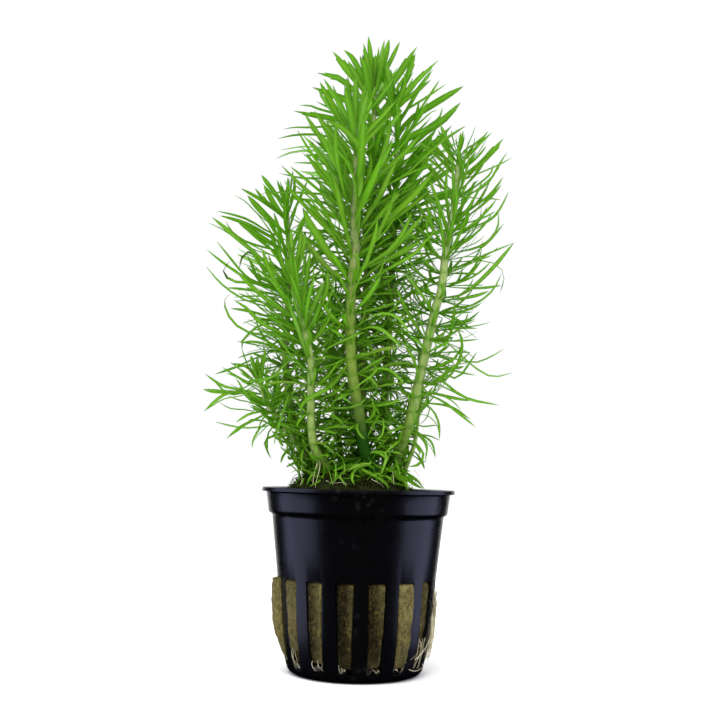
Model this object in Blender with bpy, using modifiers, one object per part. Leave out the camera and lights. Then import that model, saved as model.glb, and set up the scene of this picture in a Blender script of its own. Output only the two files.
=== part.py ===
"""A bunch of needle-leaved stems that stand in rock wool in a slotted black net pot."""

import math
import random
from typing import NamedTuple

import bmesh
import bpy
from mathutils import Matrix, Quaternion, Vector
from mathutils.bvhtree import BVHTree

MM = 0.001
UP = Vector((0, 0, 1))

# The pot stands on z = 0 with its axis on Z. The front of the plant faces -Y.
POT_HEIGHT = 0.051
RIM_RADIUS = 0.0275
POT_WALL = 0.001
BASE_RADIUS = 0.0166
WALL_TOP_RADIUS = 0.0243
COLLAR_BOTTOM = 0.0436
COLLAR_RADIUS = 0.0254
COLLAR_TOP_RADIUS = 0.0262
SLOT_COUNT = 16
SLOT_BOTTOM = 0.0022
SLOT_TOP = 0.0265
SLOT_BOTTOM_DEGREES = 10.0
SLOT_TOP_DEGREES = 12.5
FIRST_SLOT_DEGREES = -98.0
DRAIN_INNER_RADIUS = 0.0065
DRAIN_OUTER_RADIUS = 0.013

# Rock wool
GAP = 0.0003
PAD_BOTTOM = SLOT_BOTTOM + 2 * GAP
PAD_TOP = SLOT_TOP - GAP
MOUND_HEIGHT = 0.0545
MOUND_RADIUS = 0.0185
MOUND_FLAT = 0.6  # share of the mound's radius that stays at its height
MOUND_TILT = 0.0012  # how much lower the mound is at its right edge than in its middle
MOSS_LUMP = 0.0009
MOSS_WAVES = 420  # radians per metre
WOOL_EDGE_HEIGHT = 0.0485
WOOL_BULGE = 0.0004
WOOL_LEFT_BULGE = 0.0014
PAD_END = 0.08  # share of a slot's height over which its pad is at its flattest

# Roots
ROOT_MAT_SLOT = 4
ROOT_MAT_BOTTOM = 0.005
ROOT_MAT_TOP = 0.0235
ROOT_MAT_WIDTH = 0.0028
ROOT_MAT_THICKNESS = 0.0009
ROOT_MAT_WAIST = 0.2
ROOT_MAT_WAVES = 1100  # radians per metre

# Stems and leaves
STEM_SIDES = 6
STEM_TAPER = 0.5
STEM_FOOT = 0.2  # height of the first ring over the foot, in stem radii
FIRST_WHORL = 0.0575
WHORL_CROWDING = 1.25
WHORL_BAND = 0.8  # height of the band that the leaves grow from, in stem radii
LEAF_THICKNESS = 0.0004
LEAF_WIDEST = 0.42
LEAF_CLEARANCE = 0.00012
LEAF_TIP_CLEARANCE = 20  # clearance beyond the tip, as a share of the leaf's outer half per metre
OWN_LEAF_START = 0.2
LEAF_TURN = 8.0
LEAF_LIFT = 7.0
LEAF_SIZES = (0.88, 1.1)
ROUTE_STEPS = 12
SEED = 7

# How much a given tip's direction counts against its distance in mm, when a leaf is chosen for it
FACING_COST = 12.0
ANGLE_COST = 0.12

# Ways to bend a leaf out of another's path: degrees round the stem, then degrees up
NUDGES = ((0, 0), (9, 0), (-9, 0), (0, 9), (0, -9), (18, 6), (-18, 6), (12, -14), (-12, -14),
          (26, 0), (-26, 0), (0, 18), (20, 18), (-20, 18))
SHORTENINGS = (1.0, 0.85, 0.7, 0.55, 0.4)


class Stem(NamedTuple):
    """One stem. Values with three numbers run from its foot through its middle to its top."""

    name: str
    radius: float
    whorls: int
    route: tuple
    length: tuple
    width: tuple
    start_angle: tuple
    end_angle: tuple
    tips: tuple = ()


STEMS = (
    Stem(
        "stem_main", 1.35, 17,
        ((4.8, -6, 47.5), (4.0, -6, 56), (1.4, -6, 62), (-0.3, -6.5, 72), (-2.9, -7, 86.5),
         (-3.6, -7.5, 104.5), (-4.0, -8, 120), (-3.5, -8.5, 139.5), (-3.2, -9, 158)),
        (10, 19, 11), (1.0, 2.1, 1.7), (95, 55, 24), (110, 42, 14),
        ((-26, -10, 144), (-24, -8, 154.5), (-16.5, -11, 166), (11.5, -14, 163), (-23, -14, 136)),
    ),
    Stem(
        "stem_tall", 1.1, 13,
        ((0.8, 5, 47.5), (0.8, 5, 56), (0.4, 6, 70), (0.6, 7, 100), (2.1, 8, 137.5), (2.2, 9, 174)),
        (11, 20, 13), (1.0, 2.1, 1.8), (90, 55, 24), (100, 42, 12),
        ((-7, 6, 183.5), (-11.5, 8, 184), (0, 8, 189.5), (5, 11, 188.5), (-15.5, 9, 177.5), (-27, 10, 153)),
    ),
    Stem(
        "stem_back_right", 1.15, 12,
        ((8.2, 6, 47.5), (8.0, 6, 56), (7.1, 7.5, 73), (8.0, 9, 98), (8.9, 10.5, 126), (9.5, 12, 149),
         (9.1, 13, 172)),
        (11, 20, 13), (1.0, 2.1, 1.8), (90, 58, 28), (100, 46, 18),
        ((9.5, 10, 188.5), (14.5, 12, 188), (22, 14, 184.5), (25, 10, 176), (30.5, 14, 176.5),
         (28.5, 7, 168.5), (31.5, 16, 164.5)),
    ),
    Stem(
        "stem_right", 1.15, 14,
        ((8.6, -1, 47.5), (8.4, -1, 55), (10.8, -1, 61), (14.2, -1.5, 71), (17.3, -2, 86.5),
         (21.6, -2.5, 102.5), (23.8, -3, 120.5), (26.3, -3.5, 135), (27.4, -4, 150)),
        (12, 16, 9), (1.0, 1.3, 1.1), (98, 74, 30), (100, 34, 14),
        ((36.5, -6, 155), (40.5, -2, 154.5), (42, -7, 148), (42, 0, 139), (43, -8, 122),
         (41, -1, 129), (41, 1, 114), (33, -9, 101.5), (41, -6, 92.5), (44, -1, 86), (40, 2, 76),
         (32, -7, 68.5)),
    ),
    Stem(
        "stem_left_front", 1.1, 9,
        ((-8.2, -6.5, 47.5), (-8.4, -6.5, 56), (-11.9, -7.5, 62.5), (-13.9, -9, 72),
         (-15.3, -11, 87), (-17.9, -12.5, 102.5), (-20, -14, 113.5)),
        (9, 14, 8), (1.0, 1.3, 1.1), (98, 72, 30), (105, 50, 18),
    ),
    Stem(
        "stem_left_back", 1.05, 10,
        ((-14.6, 5, 47.5), (-15.2, 5, 57), (-19.0, 6.5, 68), (-22.6, 8.5, 87.5), (-22.4, 10, 108),
         (-23.6, 12.5, 133), (-24.1, 13, 138.5)),
        (10, 17, 9), (1.0, 1.3, 1.1), (98, 76, 30), (105, 58, 20),
        ((-38, 8, 140), (-40.5, 12, 139), (-44.5, 9, 132.5), (-47, 7, 129.5), (-45, 13, 125), (-47, 10, 118),
         (-41.5, 5, 106)),
    ),
    Stem(
        "stem_far_left", 0.9, 6,
        ((-14.0, -2.5, 47.5), (-14.0, -2.5, 56), (-17.6, -3, 63), (-25.5, -3.5, 73), (-29.4, -4, 80),
         (-30.5, -4, 87)),
        (9, 13, 8), (1.0, 1.1, 0.9), (95, 72, 32), (110, 66, 20),
        ((-44.5, -5, 82.5), (-45.5, -2, 78), (-44, -6, 71.5), (-42, -1, 70), (-37.5, -7, 65),
         (-31, -3, 61.5)),
    ),
    Stem(
        "stem_low_right", 0.8, 3,
        ((13.0, 4, 47.5), (13.2, 4, 56), (16.0, 6, 64), (17.5, 9, 74)),
        (9, 11, 8), (0.9, 1.0, 0.9), (95, 70, 35), (115, 80, 25),
        ((27, 3, 60.5), (24, 0, 65)),
    ),
    Stem(
        "stem_back", 0.9, 8,
        ((-5.0, 11, 47.5), (-5.2, 11, 56), (-6.5, 13, 68), (-8.5, 16, 88), (-9.5, 18, 108)),
        (9, 15, 8), (0.9, 1.2, 1.0), (95, 70, 30), (110, 58, 20),
    ),
)

# Colours are linear, and every finish is plain here.
BLACK_PLASTIC = ((0.006, 0.007, 0.010), 0.25)
WOOL = ((0.16, 0.14, 0.05), 0.95)
GREEN = ((0.12, 0.33, 0.03), 0.45)
PALE_ROOT = ((0.62, 0.56, 0.40), 0.7)


def clear_scene():
    for obj in list(bpy.data.objects):
        bpy.data.objects.remove(obj, do_unlink=True)


def new_collection(name):
    collection = bpy.data.collections.new(name)
    bpy.context.scene.collection.children.link(collection)
    return collection


def plain_material(name, finish):
    colour, roughness = finish
    material = bpy.data.materials.new(name)
    material.use_nodes = True
    shader = material.node_tree.nodes["Principled BSDF"]
    shader.inputs["Base Color"].default_value = (*colour, 1)
    shader.inputs["Roughness"].default_value = roughness
    shader.inputs["Metallic"].default_value = 0
    return material


def object_from(bm, name, collection, material=None):
    """A smooth-shaded object with the shape in bm, its faces pointing out."""
    bmesh.ops.recalc_face_normals(bm, faces=bm.faces)
    if bm.calc_volume(signed=True) < 0:
        bmesh.ops.reverse_faces(bm, faces=bm.faces)
    mesh = bpy.data.meshes.new(name)
    bm.to_mesh(mesh)
    bm.free()
    mesh.shade_smooth()
    mesh.set_sharp_from_angle(angle=math.radians(35))
    obj = bpy.data.objects.new(name, mesh)
    collection.objects.link(obj)
    if material:
        mesh.materials.append(material)
    return obj


def between(low, middle, top, share):
    """The value at share, 0 to 1, of a run from low through middle to top."""
    if share < 0.5:
        return low + (middle - low) * share * 2
    return middle + (top - middle) * (share * 2 - 1)


# Pot and wool are turned shapes with one column for each slot and each rib


def pot_profile():
    """Outer face of the pot from the middle of its base to the edge of the rim, as (radius, height)."""
    under_rim = POT_HEIGHT - POT_WALL
    return (
        (0, 0),
        (DRAIN_INNER_RADIUS, 0),
        (DRAIN_OUTER_RADIUS, 0),
        (BASE_RADIUS, 0),
        (0.0181, 0.0004),
        (0.0190, 0.0013),
        (0.01925, SLOT_BOTTOM),
        (0.0204, 0.0065),
        (0.0216, 0.0145),
        (0.02245, SLOT_TOP),
        (WALL_TOP_RADIUS, COLLAR_BOTTOM - 0.0004),
        (COLLAR_RADIUS, COLLAR_BOTTOM + 0.0008),
        (COLLAR_TOP_RADIUS, under_rim),
        (RIM_RADIUS, under_rim),
    )


def slot_half_angle(height):
    """Half the angle that a slot spans at this height."""
    share = (height - SLOT_BOTTOM) / (SLOT_TOP - SLOT_BOTTOM)
    share = min(max(share, 0), 1)
    return math.radians(SLOT_BOTTOM_DEGREES + (SLOT_TOP_DEGREES - SLOT_BOTTOM_DEGREES) * share) / 2


def turned(profile, inset_angle):
    """An open turned surface whose even columns are the slots, narrowed by inset_angle on each side."""
    bm = bmesh.new()
    verts = [bm.verts.new((radius, 0, height)) for radius, height in profile]
    edges = [bm.edges.new(pair) for pair in zip(verts, verts[1:])]
    bmesh.ops.spin(
        bm, geom=verts + edges, axis=UP, cent=(0, 0, 0), angle=math.tau, steps=2 * SLOT_COUNT, use_merge=True
    )
    bmesh.ops.remove_doubles(bm, verts=bm.verts, dist=1e-6)
    column = math.pi / SLOT_COUNT
    first = math.radians(FIRST_SLOT_DEGREES)
    for vert in bm.verts:
        radius = math.hypot(vert.co.x, vert.co.y)
        if radius < 1e-6:
            continue
        number = round(math.atan2(vert.co.y, vert.co.x) / column) % (2 * SLOT_COUNT)
        half = slot_half_angle(vert.co.z) - inset_angle / radius
        middle = first + (number // 2) * 2 * column
        angle = middle + (half if number % 2 else -half)
        vert.co.x = radius * math.cos(angle)
        vert.co.y = radius * math.sin(angle)
    return bm


def slot_number(face):
    """The slot that a face of a turned surface stands in, or None where it is on a rib."""
    centre = face.calc_center_median()
    turn = math.degrees(math.atan2(centre.y, centre.x)) - FIRST_SLOT_DEGREES
    place = turn * SLOT_COUNT / 360
    nearest = round(place)
    return nearest % SLOT_COUNT if abs(place - nearest) < 0.2 else None


def make_pot(collection):
    bm = turned(pot_profile(), 0)
    open_faces = []
    for face in bm.faces:
        centre = face.calc_center_median()
        slot = slot_number(face)
        in_wall = SLOT_BOTTOM < centre.z < SLOT_TOP
        radius = centre.xy.length
        in_drain = centre.z < 1e-5 and DRAIN_INNER_RADIUS < radius < DRAIN_OUTER_RADIUS
        if slot is not None and (in_wall or (in_drain and slot % 2 == 0)):
            open_faces.append(face)
    bmesh.ops.delete(bm, geom=open_faces, context="FACES")
    pot = object_from(bm, "pot", collection, plain_material("black_plastic", BLACK_PLASTIC))
    wall = pot.modifiers.new("wall", "SOLIDIFY")
    wall.thickness = POT_WALL
    wall.offset = -1
    wall.use_even_offset = True
    return pot


def inside(profile, distance):
    """The profile moved inwards, square to itself, by distance."""
    moved = []
    for index, point in enumerate(profile):
        before = Vector(profile[max(index - 1, 0)])
        after = Vector(profile[min(index + 1, len(profile) - 1)])
        along = (after - before).normalized()
        moved.append((max(point[0] - along.y * distance, 0), point[1] + along.x * distance))
    return moved


def wool_height(x, y):
    """Height of the mossy top of the wool: a lumpy mound that falls away to the wall."""
    radius = math.hypot(x, y)
    lumps = MOSS_LUMP * math.sin(x * MOSS_WAVES) * math.cos(y * MOSS_WAVES)
    fall = min(max((radius / MOUND_RADIUS - MOUND_FLAT) / MOUND_FLAT, 0), 1)
    mound = MOUND_HEIGHT + lumps - MOUND_TILT * x / MOUND_RADIUS
    return mound + (WOOL_EDGE_HEIGHT - mound) * fall * fall * (3 - 2 * fall)


def pad_bulge(angle, height):
    """How far the wool stands out of a slot: most on the left, and least at the slot's ends."""
    leftness = max(-math.cos(angle), 0)
    share = (height - SLOT_BOTTOM) / (SLOT_TOP - SLOT_BOTTOM)
    share = min(max(share, PAD_END), 1 - PAD_END)
    return (WOOL_BULGE + WOOL_LEFT_BULGE * leftness**4) * math.sin(math.pi * share)


def outer_radius(height):
    """Radius of the pot's outer face at this height of its wall."""
    points = pot_profile()[3:]
    for (low_radius, low), (high_radius, high) in zip(points, points[1:]):
        if low <= height <= high:
            return low_radius + (high_radius - low_radius) * (height - low) / (high - low)
    return RIM_RADIUS


def wool_profile():
    """Outer face of the plug of wool, from the middle of its underside to the middle of its top."""
    depth = POT_WALL + GAP
    lined = inside(pot_profile()[:-1], depth)
    foot = [lined[0], lined[3], lined[4]]
    wall = [(outer_radius(z) - depth * 1.03, z) for z in (PAD_BOTTOM, 0.0065, 0.0145, PAD_TOP)]
    rise = [(WALL_TOP_RADIUS - depth * 1.1, COLLAR_BOTTOM), (WALL_TOP_RADIUS - depth, WOOL_EDGE_HEIGHT)]
    top = [(MOUND_RADIUS * share, WOOL_EDGE_HEIGHT) for share in (1.1, 0.85, 0.45)]
    return foot + wall + rise + top + [(0, WOOL_EDGE_HEIGHT)]


def make_wool(collection, holes):
    bm = turned(wool_profile(), GAP)
    pads = []
    for face in bm.faces:
        centre = face.calc_center_median()
        if slot_number(face) is not None and PAD_BOTTOM < centre.z < PAD_TOP:
            pads.append(face)
    grown = bmesh.ops.extrude_face_region(bm, geom=pads)["geom"]
    bmesh.ops.delete(bm, geom=pads, context="FACES")
    for vert in grown:
        if isinstance(vert, bmesh.types.BMVert):
            angle = math.atan2(vert.co.y, vert.co.x)
            radius = outer_radius(vert.co.z) + pad_bulge(angle, vert.co.z)
            vert.co.x = radius * math.cos(angle)
            vert.co.y = radius * math.sin(angle)
    for vert in bm.verts:
        if abs(vert.co.z - WOOL_EDGE_HEIGHT) < 1e-6 and vert.co.xy.length < MOUND_RADIUS * 1.2:
            vert.co.z = wool_height(vert.co.x, vert.co.y)
    wool = object_from(bm, "rock_wool", collection, plain_material("rock_wool", WOOL))
    for hole in holes:
        cut = wool.modifiers.new(hole.name, "BOOLEAN")
        cut.operation = "DIFFERENCE"
        cut.object = hole
    return wool


def make_roots(collection):
    """A pad in the form of the root mat, which lies on the wool in one of the slots on the right."""
    angle = math.radians(FIRST_SLOT_DEGREES + ROOT_MAT_SLOT * 360 / SLOT_COUNT)
    bm = bmesh.new()
    bmesh.ops.create_cube(bm, size=1)
    bmesh.ops.scale(
        bm, verts=bm.verts, vec=(ROOT_MAT_THICKNESS, ROOT_MAT_WIDTH, ROOT_MAT_TOP - ROOT_MAT_BOTTOM)
    )
    upright = [edge for edge in bm.edges if abs(edge.verts[0].co.z - edge.verts[1].co.z) > ROOT_MAT_WIDTH]
    bmesh.ops.subdivide_edges(bm, edges=upright, cuts=5, use_grid_fill=False)
    for vert in bm.verts:
        height = vert.co.z + (ROOT_MAT_BOTTOM + ROOT_MAT_TOP) / 2
        narrow = 1 - ROOT_MAT_WAIST * (1 - math.sin(height * ROOT_MAT_WAVES))
        out = outer_radius(height) + pad_bulge(angle, height) + GAP + ROOT_MAT_THICKNESS / 2
        vert.co = Vector((vert.co.x + out, vert.co.y * narrow, height))
    bmesh.ops.rotate(bm, verts=bm.verts, cent=(0, 0, 0), matrix=Matrix.Rotation(angle, 3, "Z"))
    return object_from(bm, "roots", collection, plain_material("pale_root", PALE_ROOT))


# A stem is a run of rings along its route, and a leaf is drawn out of one triangle of a whorl's band


class Path:
    """A smooth line through a stem's route, with a frame that doesn't twist."""

    def __init__(self, stem):
        points = [Vector(point) * MM for point in stem.route]
        ends = [points[0] * 2 - points[1], *points, points[-1] * 2 - points[-2]]
        self.points = [points[0]]
        for a, b, c, d in zip(ends, ends[1:], ends[2:], ends[3:]):
            for step in range(1, ROUTE_STEPS + 1):
                u = step / ROUTE_STEPS
                curve = b * 2 + (c - a) * u + (a * 2 - b * 5 + c * 4 - d) * u**2
                curve += (b * 3 - a - c * 3 + d) * u**3
                self.points.append(curve / 2)
        self.reached = [0.0]
        for a, b in zip(self.points, self.points[1:]):
            self.reached.append(self.reached[-1] + (b - a).length)
        self.turns = [UP.rotation_difference(self.points[1] - self.points[0])]
        for a, b, c in zip(self.points, self.points[1:], self.points[2:]):
            self.turns.append((b - a).rotation_difference(c - b) @ self.turns[-1])
        self.turns.append(self.turns[-1])
        self.length = self.reached[-1]

    def at(self, distance):
        """Point and turn at this distance along the path."""
        index = 0
        while index < len(self.reached) - 2 and self.reached[index + 1] < distance:
            index += 1
        share = (distance - self.reached[index]) / (self.reached[index + 1] - self.reached[index])
        point = self.points[index].lerp(self.points[index + 1], share)
        return point, self.turns[index].slerp(self.turns[index + 1], min(max(share, 0), 1))

    def distance_to_height(self, height):
        for index, point in enumerate(self.points):
            if point.z > height:
                return self.reached[index]
        return self.length


def ring(path, distance, radius, spin):
    """Matrix that takes a unit circle to the stem's ring at this distance."""
    point, turn = path.at(distance)
    round_stem = Quaternion(UP, spin)
    return Matrix.Translation(point) @ (turn @ round_stem).to_matrix().to_4x4() @ Matrix.Scale(radius, 4)


def draw_on(bm, top, old, new):
    """Extrudes the top face of a stem to its next ring."""
    top = bmesh.ops.extrude_discrete_faces(bm, faces=[top])["faces"][0]
    bmesh.ops.transform(bm, matrix=new @ old.inverted(), verts=top.verts)
    return top


def stem_radius(stem, path, distance):
    return stem.radius * MM * (1 - STEM_TAPER * distance / path.length)


def whorl_distances(stem, path):
    """Distances of the whorls along the path, closer together towards the top."""
    first = path.distance_to_height(FIRST_WHORL)
    shares = [index / stem.whorls for index in range(stem.whorls)]
    return [path.length - (path.length - first) * (1 - share) ** WHORL_CROWDING for share in shares]


class Whorl(NamedTuple):
    share: float
    centre: Vector
    axis: Vector
    faces: list


def start_stem(bm, frame):
    """A short closed foot that stands on the frame. Returns its top face and that face's frame."""
    middle = frame @ Matrix.Translation((0, 0, STEM_FOOT / 2))
    bmesh.ops.create_cone(
        bm, cap_ends=True, segments=STEM_SIDES, radius1=1, radius2=1, depth=STEM_FOOT, matrix=middle
    )
    top_frame = frame @ Matrix.Translation((0, 0, STEM_FOOT))
    top = min(bm.faces, key=lambda face: (face.calc_center_median() - top_frame.translation).length)
    return top, top_frame


def build_stem(stem, path):
    """The bare stem, and for each whorl the triangles that its leaves grow from."""
    bm = bmesh.new()
    top, frame = start_stem(bm, ring(path, 0, stem.radius * MM, 0))
    whorls = []
    spin = 0.0
    distances = whorl_distances(stem, path)
    for index, distance in enumerate(distances):
        radius = stem_radius(stem, path, distance)
        band = radius * WHORL_BAND
        low = ring(path, distance - band / 2, radius, spin)
        top = draw_on(bm, top, frame, low)
        spin += math.pi / STEM_SIDES
        frame = ring(path, distance + band / 2, radius, spin)
        top = draw_on(bm, top, low, frame)
        sides = [face for edge in top.edges for face in edge.link_faces if face is not top]
        bmesh.ops.triangulate(bm, faces=sides, quad_method="SHORT_EDGE")
        faces = [face for edge in top.edges for face in edge.link_faces if face is not top]
        centre, turn = path.at(distance)
        whorls.append(Whorl(index / (len(distances) - 1), centre, turn @ UP, faces))
    tip = bmesh.ops.poke(bm, faces=[top])["verts"][0]
    tip.co = path.at(path.length)[0]
    return bm, whorls


class Leaf(NamedTuple):
    """A leaf's centre line bends from start towards bend and ends at tip."""

    start: Vector
    bend: Vector
    tip: Vector
    across: Vector
    width: float

    def at(self, share):
        return self.start.lerp(self.bend, share).lerp(self.bend.lerp(self.tip, share), share)

    def section(self, share, wider=0.0):
        """Left edge, right edge and keel at this share of the length."""
        centre = self.at(share)
        along = (self.bend.lerp(self.tip, share) - self.start.lerp(self.bend, share)).normalized()
        across = (self.across - along * self.across.dot(along)).normalized()
        up = along.cross(across)
        half = across * (self.width / 2 + wider)
        return centre + half, centre - half, centre - up * (LEAF_THICKNESS + wider)


def leaf_of(stem, whorl, face, turn, lift, shorten):
    """The leaf that the rule for this stem gives at one triangle of a whorl."""
    start = face.calc_center_median()
    out = start - whorl.centre
    out = (out - whorl.axis * out.dot(whorl.axis)).normalized()
    out = Quaternion(whorl.axis, math.radians(turn)) @ out
    across = whorl.axis.cross(out)
    length = between(*stem.length, whorl.share) * MM * shorten
    first = math.radians(between(*stem.start_angle, whorl.share) - lift)
    last = math.radians(between(*stem.end_angle, whorl.share) - lift)
    bend = start + (whorl.axis * math.cos(first) + out * math.sin(first)) * length / 2
    tip = bend + (whorl.axis * math.cos(last) + out * math.sin(last)) * length / 2
    width = between(*stem.width, whorl.share) * MM * (1 + shorten) / 2
    return Leaf(start, bend, tip, across, width)


def leaf_to(stem, whorl, face, tip):
    """The leaf from one triangle of a whorl to a given tip."""
    natural = leaf_of(stem, whorl, face, 0, 0, 1)
    reach = (tip - natural.start).length
    heading = (natural.bend - natural.start).normalized()
    straight = (tip - natural.start).normalized()
    bend = natural.start + (heading + straight).normalized() * reach / 2
    return natural._replace(bend=bend, tip=tip)


class Crowd:
    """Surfaces that a new leaf must not touch."""

    def __init__(self):
        self.points = []
        self.faces = []
        self.tree = None

    def add(self, points, faces):
        first = len(self.points)
        self.points += points
        self.faces += [[first + index for index in face] for face in faces]
        self.tree = None

    def add_leaf(self, leaf, base, from_share=0.0, wider=0.0):
        """Adds a leaf's form, from its base triangle or from a section further out."""
        root = base if from_share == 0 else leaf.section(from_share, wider - leaf.width / 4)
        beyond = (leaf.tip - leaf.bend) * wider * LEAF_TIP_CLEARANCE
        points = [*root, *leaf.section(LEAF_WIDEST, wider), leaf.tip + beyond]
        sides = [(a, (a + 1) % 3, 3 + (a + 1) % 3, 3 + a) for a in range(3)]
        ends = [(3, 4, 6), (4, 5, 6), (5, 3, 6)]
        self.add(points, sides + ends)

    def hit_by(self, other):
        if not self.points:
            return False
        if self.tree is None:
            self.tree = BVHTree.FromPolygons(self.points, self.faces)
        return bool(self.tree.overlap(BVHTree.FromPolygons(other.points, other.faces)))


def ordered_base(leaf, face):
    """The corners of a base triangle as left, right and keel of the leaf."""
    corners = sorted((vert.co for vert in face.verts), key=lambda co: (co - leaf.start).dot(leaf.across))
    return corners[2], corners[0], corners[1]


def grow_leaf(bm, leaf, face):
    """Draws a leaf out of its base triangle: its widest section, then the tip."""
    left, right, keel = leaf.section(LEAF_WIDEST)
    base_left, base_right, base_keel = ordered_base(leaf, face)
    blade = bmesh.ops.extrude_discrete_faces(bm, faces=[face])["faces"][0]
    for vert in blade.verts:
        places = ((base_left, left), (base_right, right), (base_keel, keel))
        vert.co = min(places, key=lambda place: (place[0] - vert.co).length)[1]
    point = bmesh.ops.poke(bm, faces=[blade])["verts"][0]
    point.co = leaf.tip


class Shoot:
    """A stem that is growing: its shape, its whorls, and the forms that others keep clear of."""

    def __init__(self, stem):
        self.stem = stem
        self.path = Path(stem)
        self.bm, self.whorls = build_stem(stem, self.path)
        self.bare = Crowd()
        self.bm.verts.index_update()
        points = [vert.co.copy() for vert in self.bm.verts]
        self.bare.add(points, [[vert.index for vert in face.verts] for face in self.bm.faces])
        self.leaves = Crowd()
        self.outer_leaves = Crowd()
        self.grown = []

    def faces_for_tips(self):
        """For each given tip, the whorl triangle that faces it from about a leaf's length away."""
        chosen = {}
        for tip in self.stem.tips:
            tip = Vector(tip) * MM
            best = None
            for whorl in self.whorls:
                reach = between(*self.stem.length, whorl.share) * MM
                wanted = between(*self.stem.start_angle, whorl.share)
                for face in whorl.faces:
                    start = face.calc_center_median()
                    span = tip - start
                    side = (start - whorl.centre).normalized()
                    cost = abs(span.length - reach) / MM
                    cost += (1 - side.dot(span.normalized())) * FACING_COST
                    cost += abs(math.degrees(whorl.axis.angle(span)) - wanted) * ANGLE_COST
                    if face not in chosen and (best is None or cost < best[0]):
                        best = (cost, face)
            chosen[best[1]] = tip
        return chosen

    def buds(self, chance):
        """Every place where a leaf grows, with its given tip, if any, and its own small differences."""
        chosen = self.faces_for_tips()
        found = []
        for whorl in self.whorls:
            for face in whorl.faces:
                turn = chance.uniform(-LEAF_TURN, LEAF_TURN)
                lift = chance.uniform(-LEAF_LIFT, LEAF_LIFT)
                size = chance.uniform(*LEAF_SIZES)
                found.append(Bud(self, whorl, face, chosen.get(face), turn, lift, size))
        return found


class Bud(NamedTuple):
    shoot: Shoot
    whorl: Whorl
    face: bmesh.types.BMFace
    tip: Vector
    turn: float
    lift: float
    size: float

    def choices(self):
        """Leaves to try in turn, from the wanted one to short and bent ones."""
        stem = self.shoot.stem
        for shorten in SHORTENINGS:
            if self.tip:
                near_tip = self.face.calc_center_median().lerp(self.tip, shorten)
                yield leaf_to(stem, self.whorl, self.face, near_tip)
                continue
            for turn, lift in NUDGES:
                yield leaf_of(
                    stem, self.whorl, self.face, self.turn + turn, self.lift + lift, self.size * shorten
                )

    def is_free(self, leaf, shoots, still):
        whole = Crowd()
        whole.add_leaf(leaf, ordered_base(leaf, self.face), wider=LEAF_CLEARANCE)
        if still.hit_by(whole):
            return False
        for other in shoots:
            if other is not self.shoot and (other.bare.hit_by(whole) or other.leaves.hit_by(whole)):
                return False
        outer = Crowd()
        outer.add_leaf(leaf, None, from_share=OWN_LEAF_START, wider=LEAF_CLEARANCE)
        return not self.shoot.outer_leaves.hit_by(outer)

    def grow(self, shoots, still):
        """Takes the first leaf that is clear of everything. A bud with no room stays bare."""
        for leaf in self.choices():
            if self.is_free(leaf, shoots, still):
                self.shoot.leaves.add_leaf(leaf, ordered_base(leaf, self.face))
                self.shoot.outer_leaves.add_leaf(leaf, None, from_share=OWN_LEAF_START)
                self.shoot.grown.append((leaf, self.face))
                return


def grow_all(shoots, still):
    """Grows the leaves of all stems in turns, the ones with a given tip first."""
    chance = random.Random(SEED)
    buds = [bud for shoot in shoots for bud in shoot.buds(chance)]
    chance.shuffle(buds)
    buds.sort(key=lambda bud: bud.tip is None)
    for bud in buds:
        bud.grow(shoots, still)
    for shoot in shoots:
        for leaf, face in shoot.grown:
            grow_leaf(shoot.bm, leaf, face)


def hole_for(shoot, collection):
    """A cutter for the hole that the wool closes round the foot of a stem."""
    stem, path = shoot.stem, shoot.path
    bm = bmesh.new()
    radius = stem.radius * MM + GAP / math.cos(math.pi / STEM_SIDES)
    top, frame = start_stem(bm, ring(path, -GAP, radius, 0))
    draw_on(bm, top, frame, ring(path, whorl_distances(stem, path)[0], radius, 0))
    hole = object_from(bm, stem.name + "_hole", collection)
    hole.hide_render = True
    hole.display_type = "WIRE"
    return hole


def crowd_of(objects):
    """The evaluated faces of some objects as a crowd."""
    crowd = Crowd()
    graph = bpy.context.evaluated_depsgraph_get()
    for obj in objects:
        evaluated = obj.evaluated_get(graph)
        mesh = evaluated.to_mesh()
        crowd.add([vert.co.copy() for vert in mesh.vertices], [list(face.vertices) for face in mesh.polygons])
        evaluated.to_mesh_clear()
    return crowd


def main():
    clear_scene()
    parts = new_collection("potted_plant")
    cutters = new_collection("cutters")
    shoots = [Shoot(stem) for stem in STEMS]
    pot = make_pot(parts)
    wool = make_wool(parts, [hole_for(shoot, cutters) for shoot in shoots])
    make_roots(parts)
    grow_all(shoots, crowd_of((pot, wool)))
    green = plain_material("leaf_green", GREEN)
    for shoot in shoots:
        object_from(shoot.bm, shoot.stem.name, parts, green)


main()
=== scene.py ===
"""Dresses the solids of a potted aquarium plant: whorled shoots in mossy rock wool, in a slotted net pot."""

import math
import random
from typing import NamedTuple

import bpy
import numpy as np
from bpy.props import FloatProperty, FloatVectorProperty, IntProperty, PointerProperty
from mathutils import Euler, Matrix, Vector, noise


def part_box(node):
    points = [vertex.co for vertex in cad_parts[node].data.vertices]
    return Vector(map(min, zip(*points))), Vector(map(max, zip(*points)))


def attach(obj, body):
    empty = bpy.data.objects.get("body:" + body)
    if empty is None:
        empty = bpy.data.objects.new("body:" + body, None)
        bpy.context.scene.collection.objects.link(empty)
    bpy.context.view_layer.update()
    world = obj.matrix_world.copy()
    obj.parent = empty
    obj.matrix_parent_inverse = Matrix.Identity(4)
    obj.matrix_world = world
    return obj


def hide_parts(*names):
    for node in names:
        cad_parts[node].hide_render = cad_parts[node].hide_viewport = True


bl_info = {
    "name": "Potted Pogostemon",
    "version": (1, 0, 0),
    "blender": (4, 5, 0),
    "location": "View3D > Sidebar > Plant",
    "description": "Leaves, moss, roots and a glossy net pot around the solids of a potted aquarium plant",
    "category": "Add Mesh",
}

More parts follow.
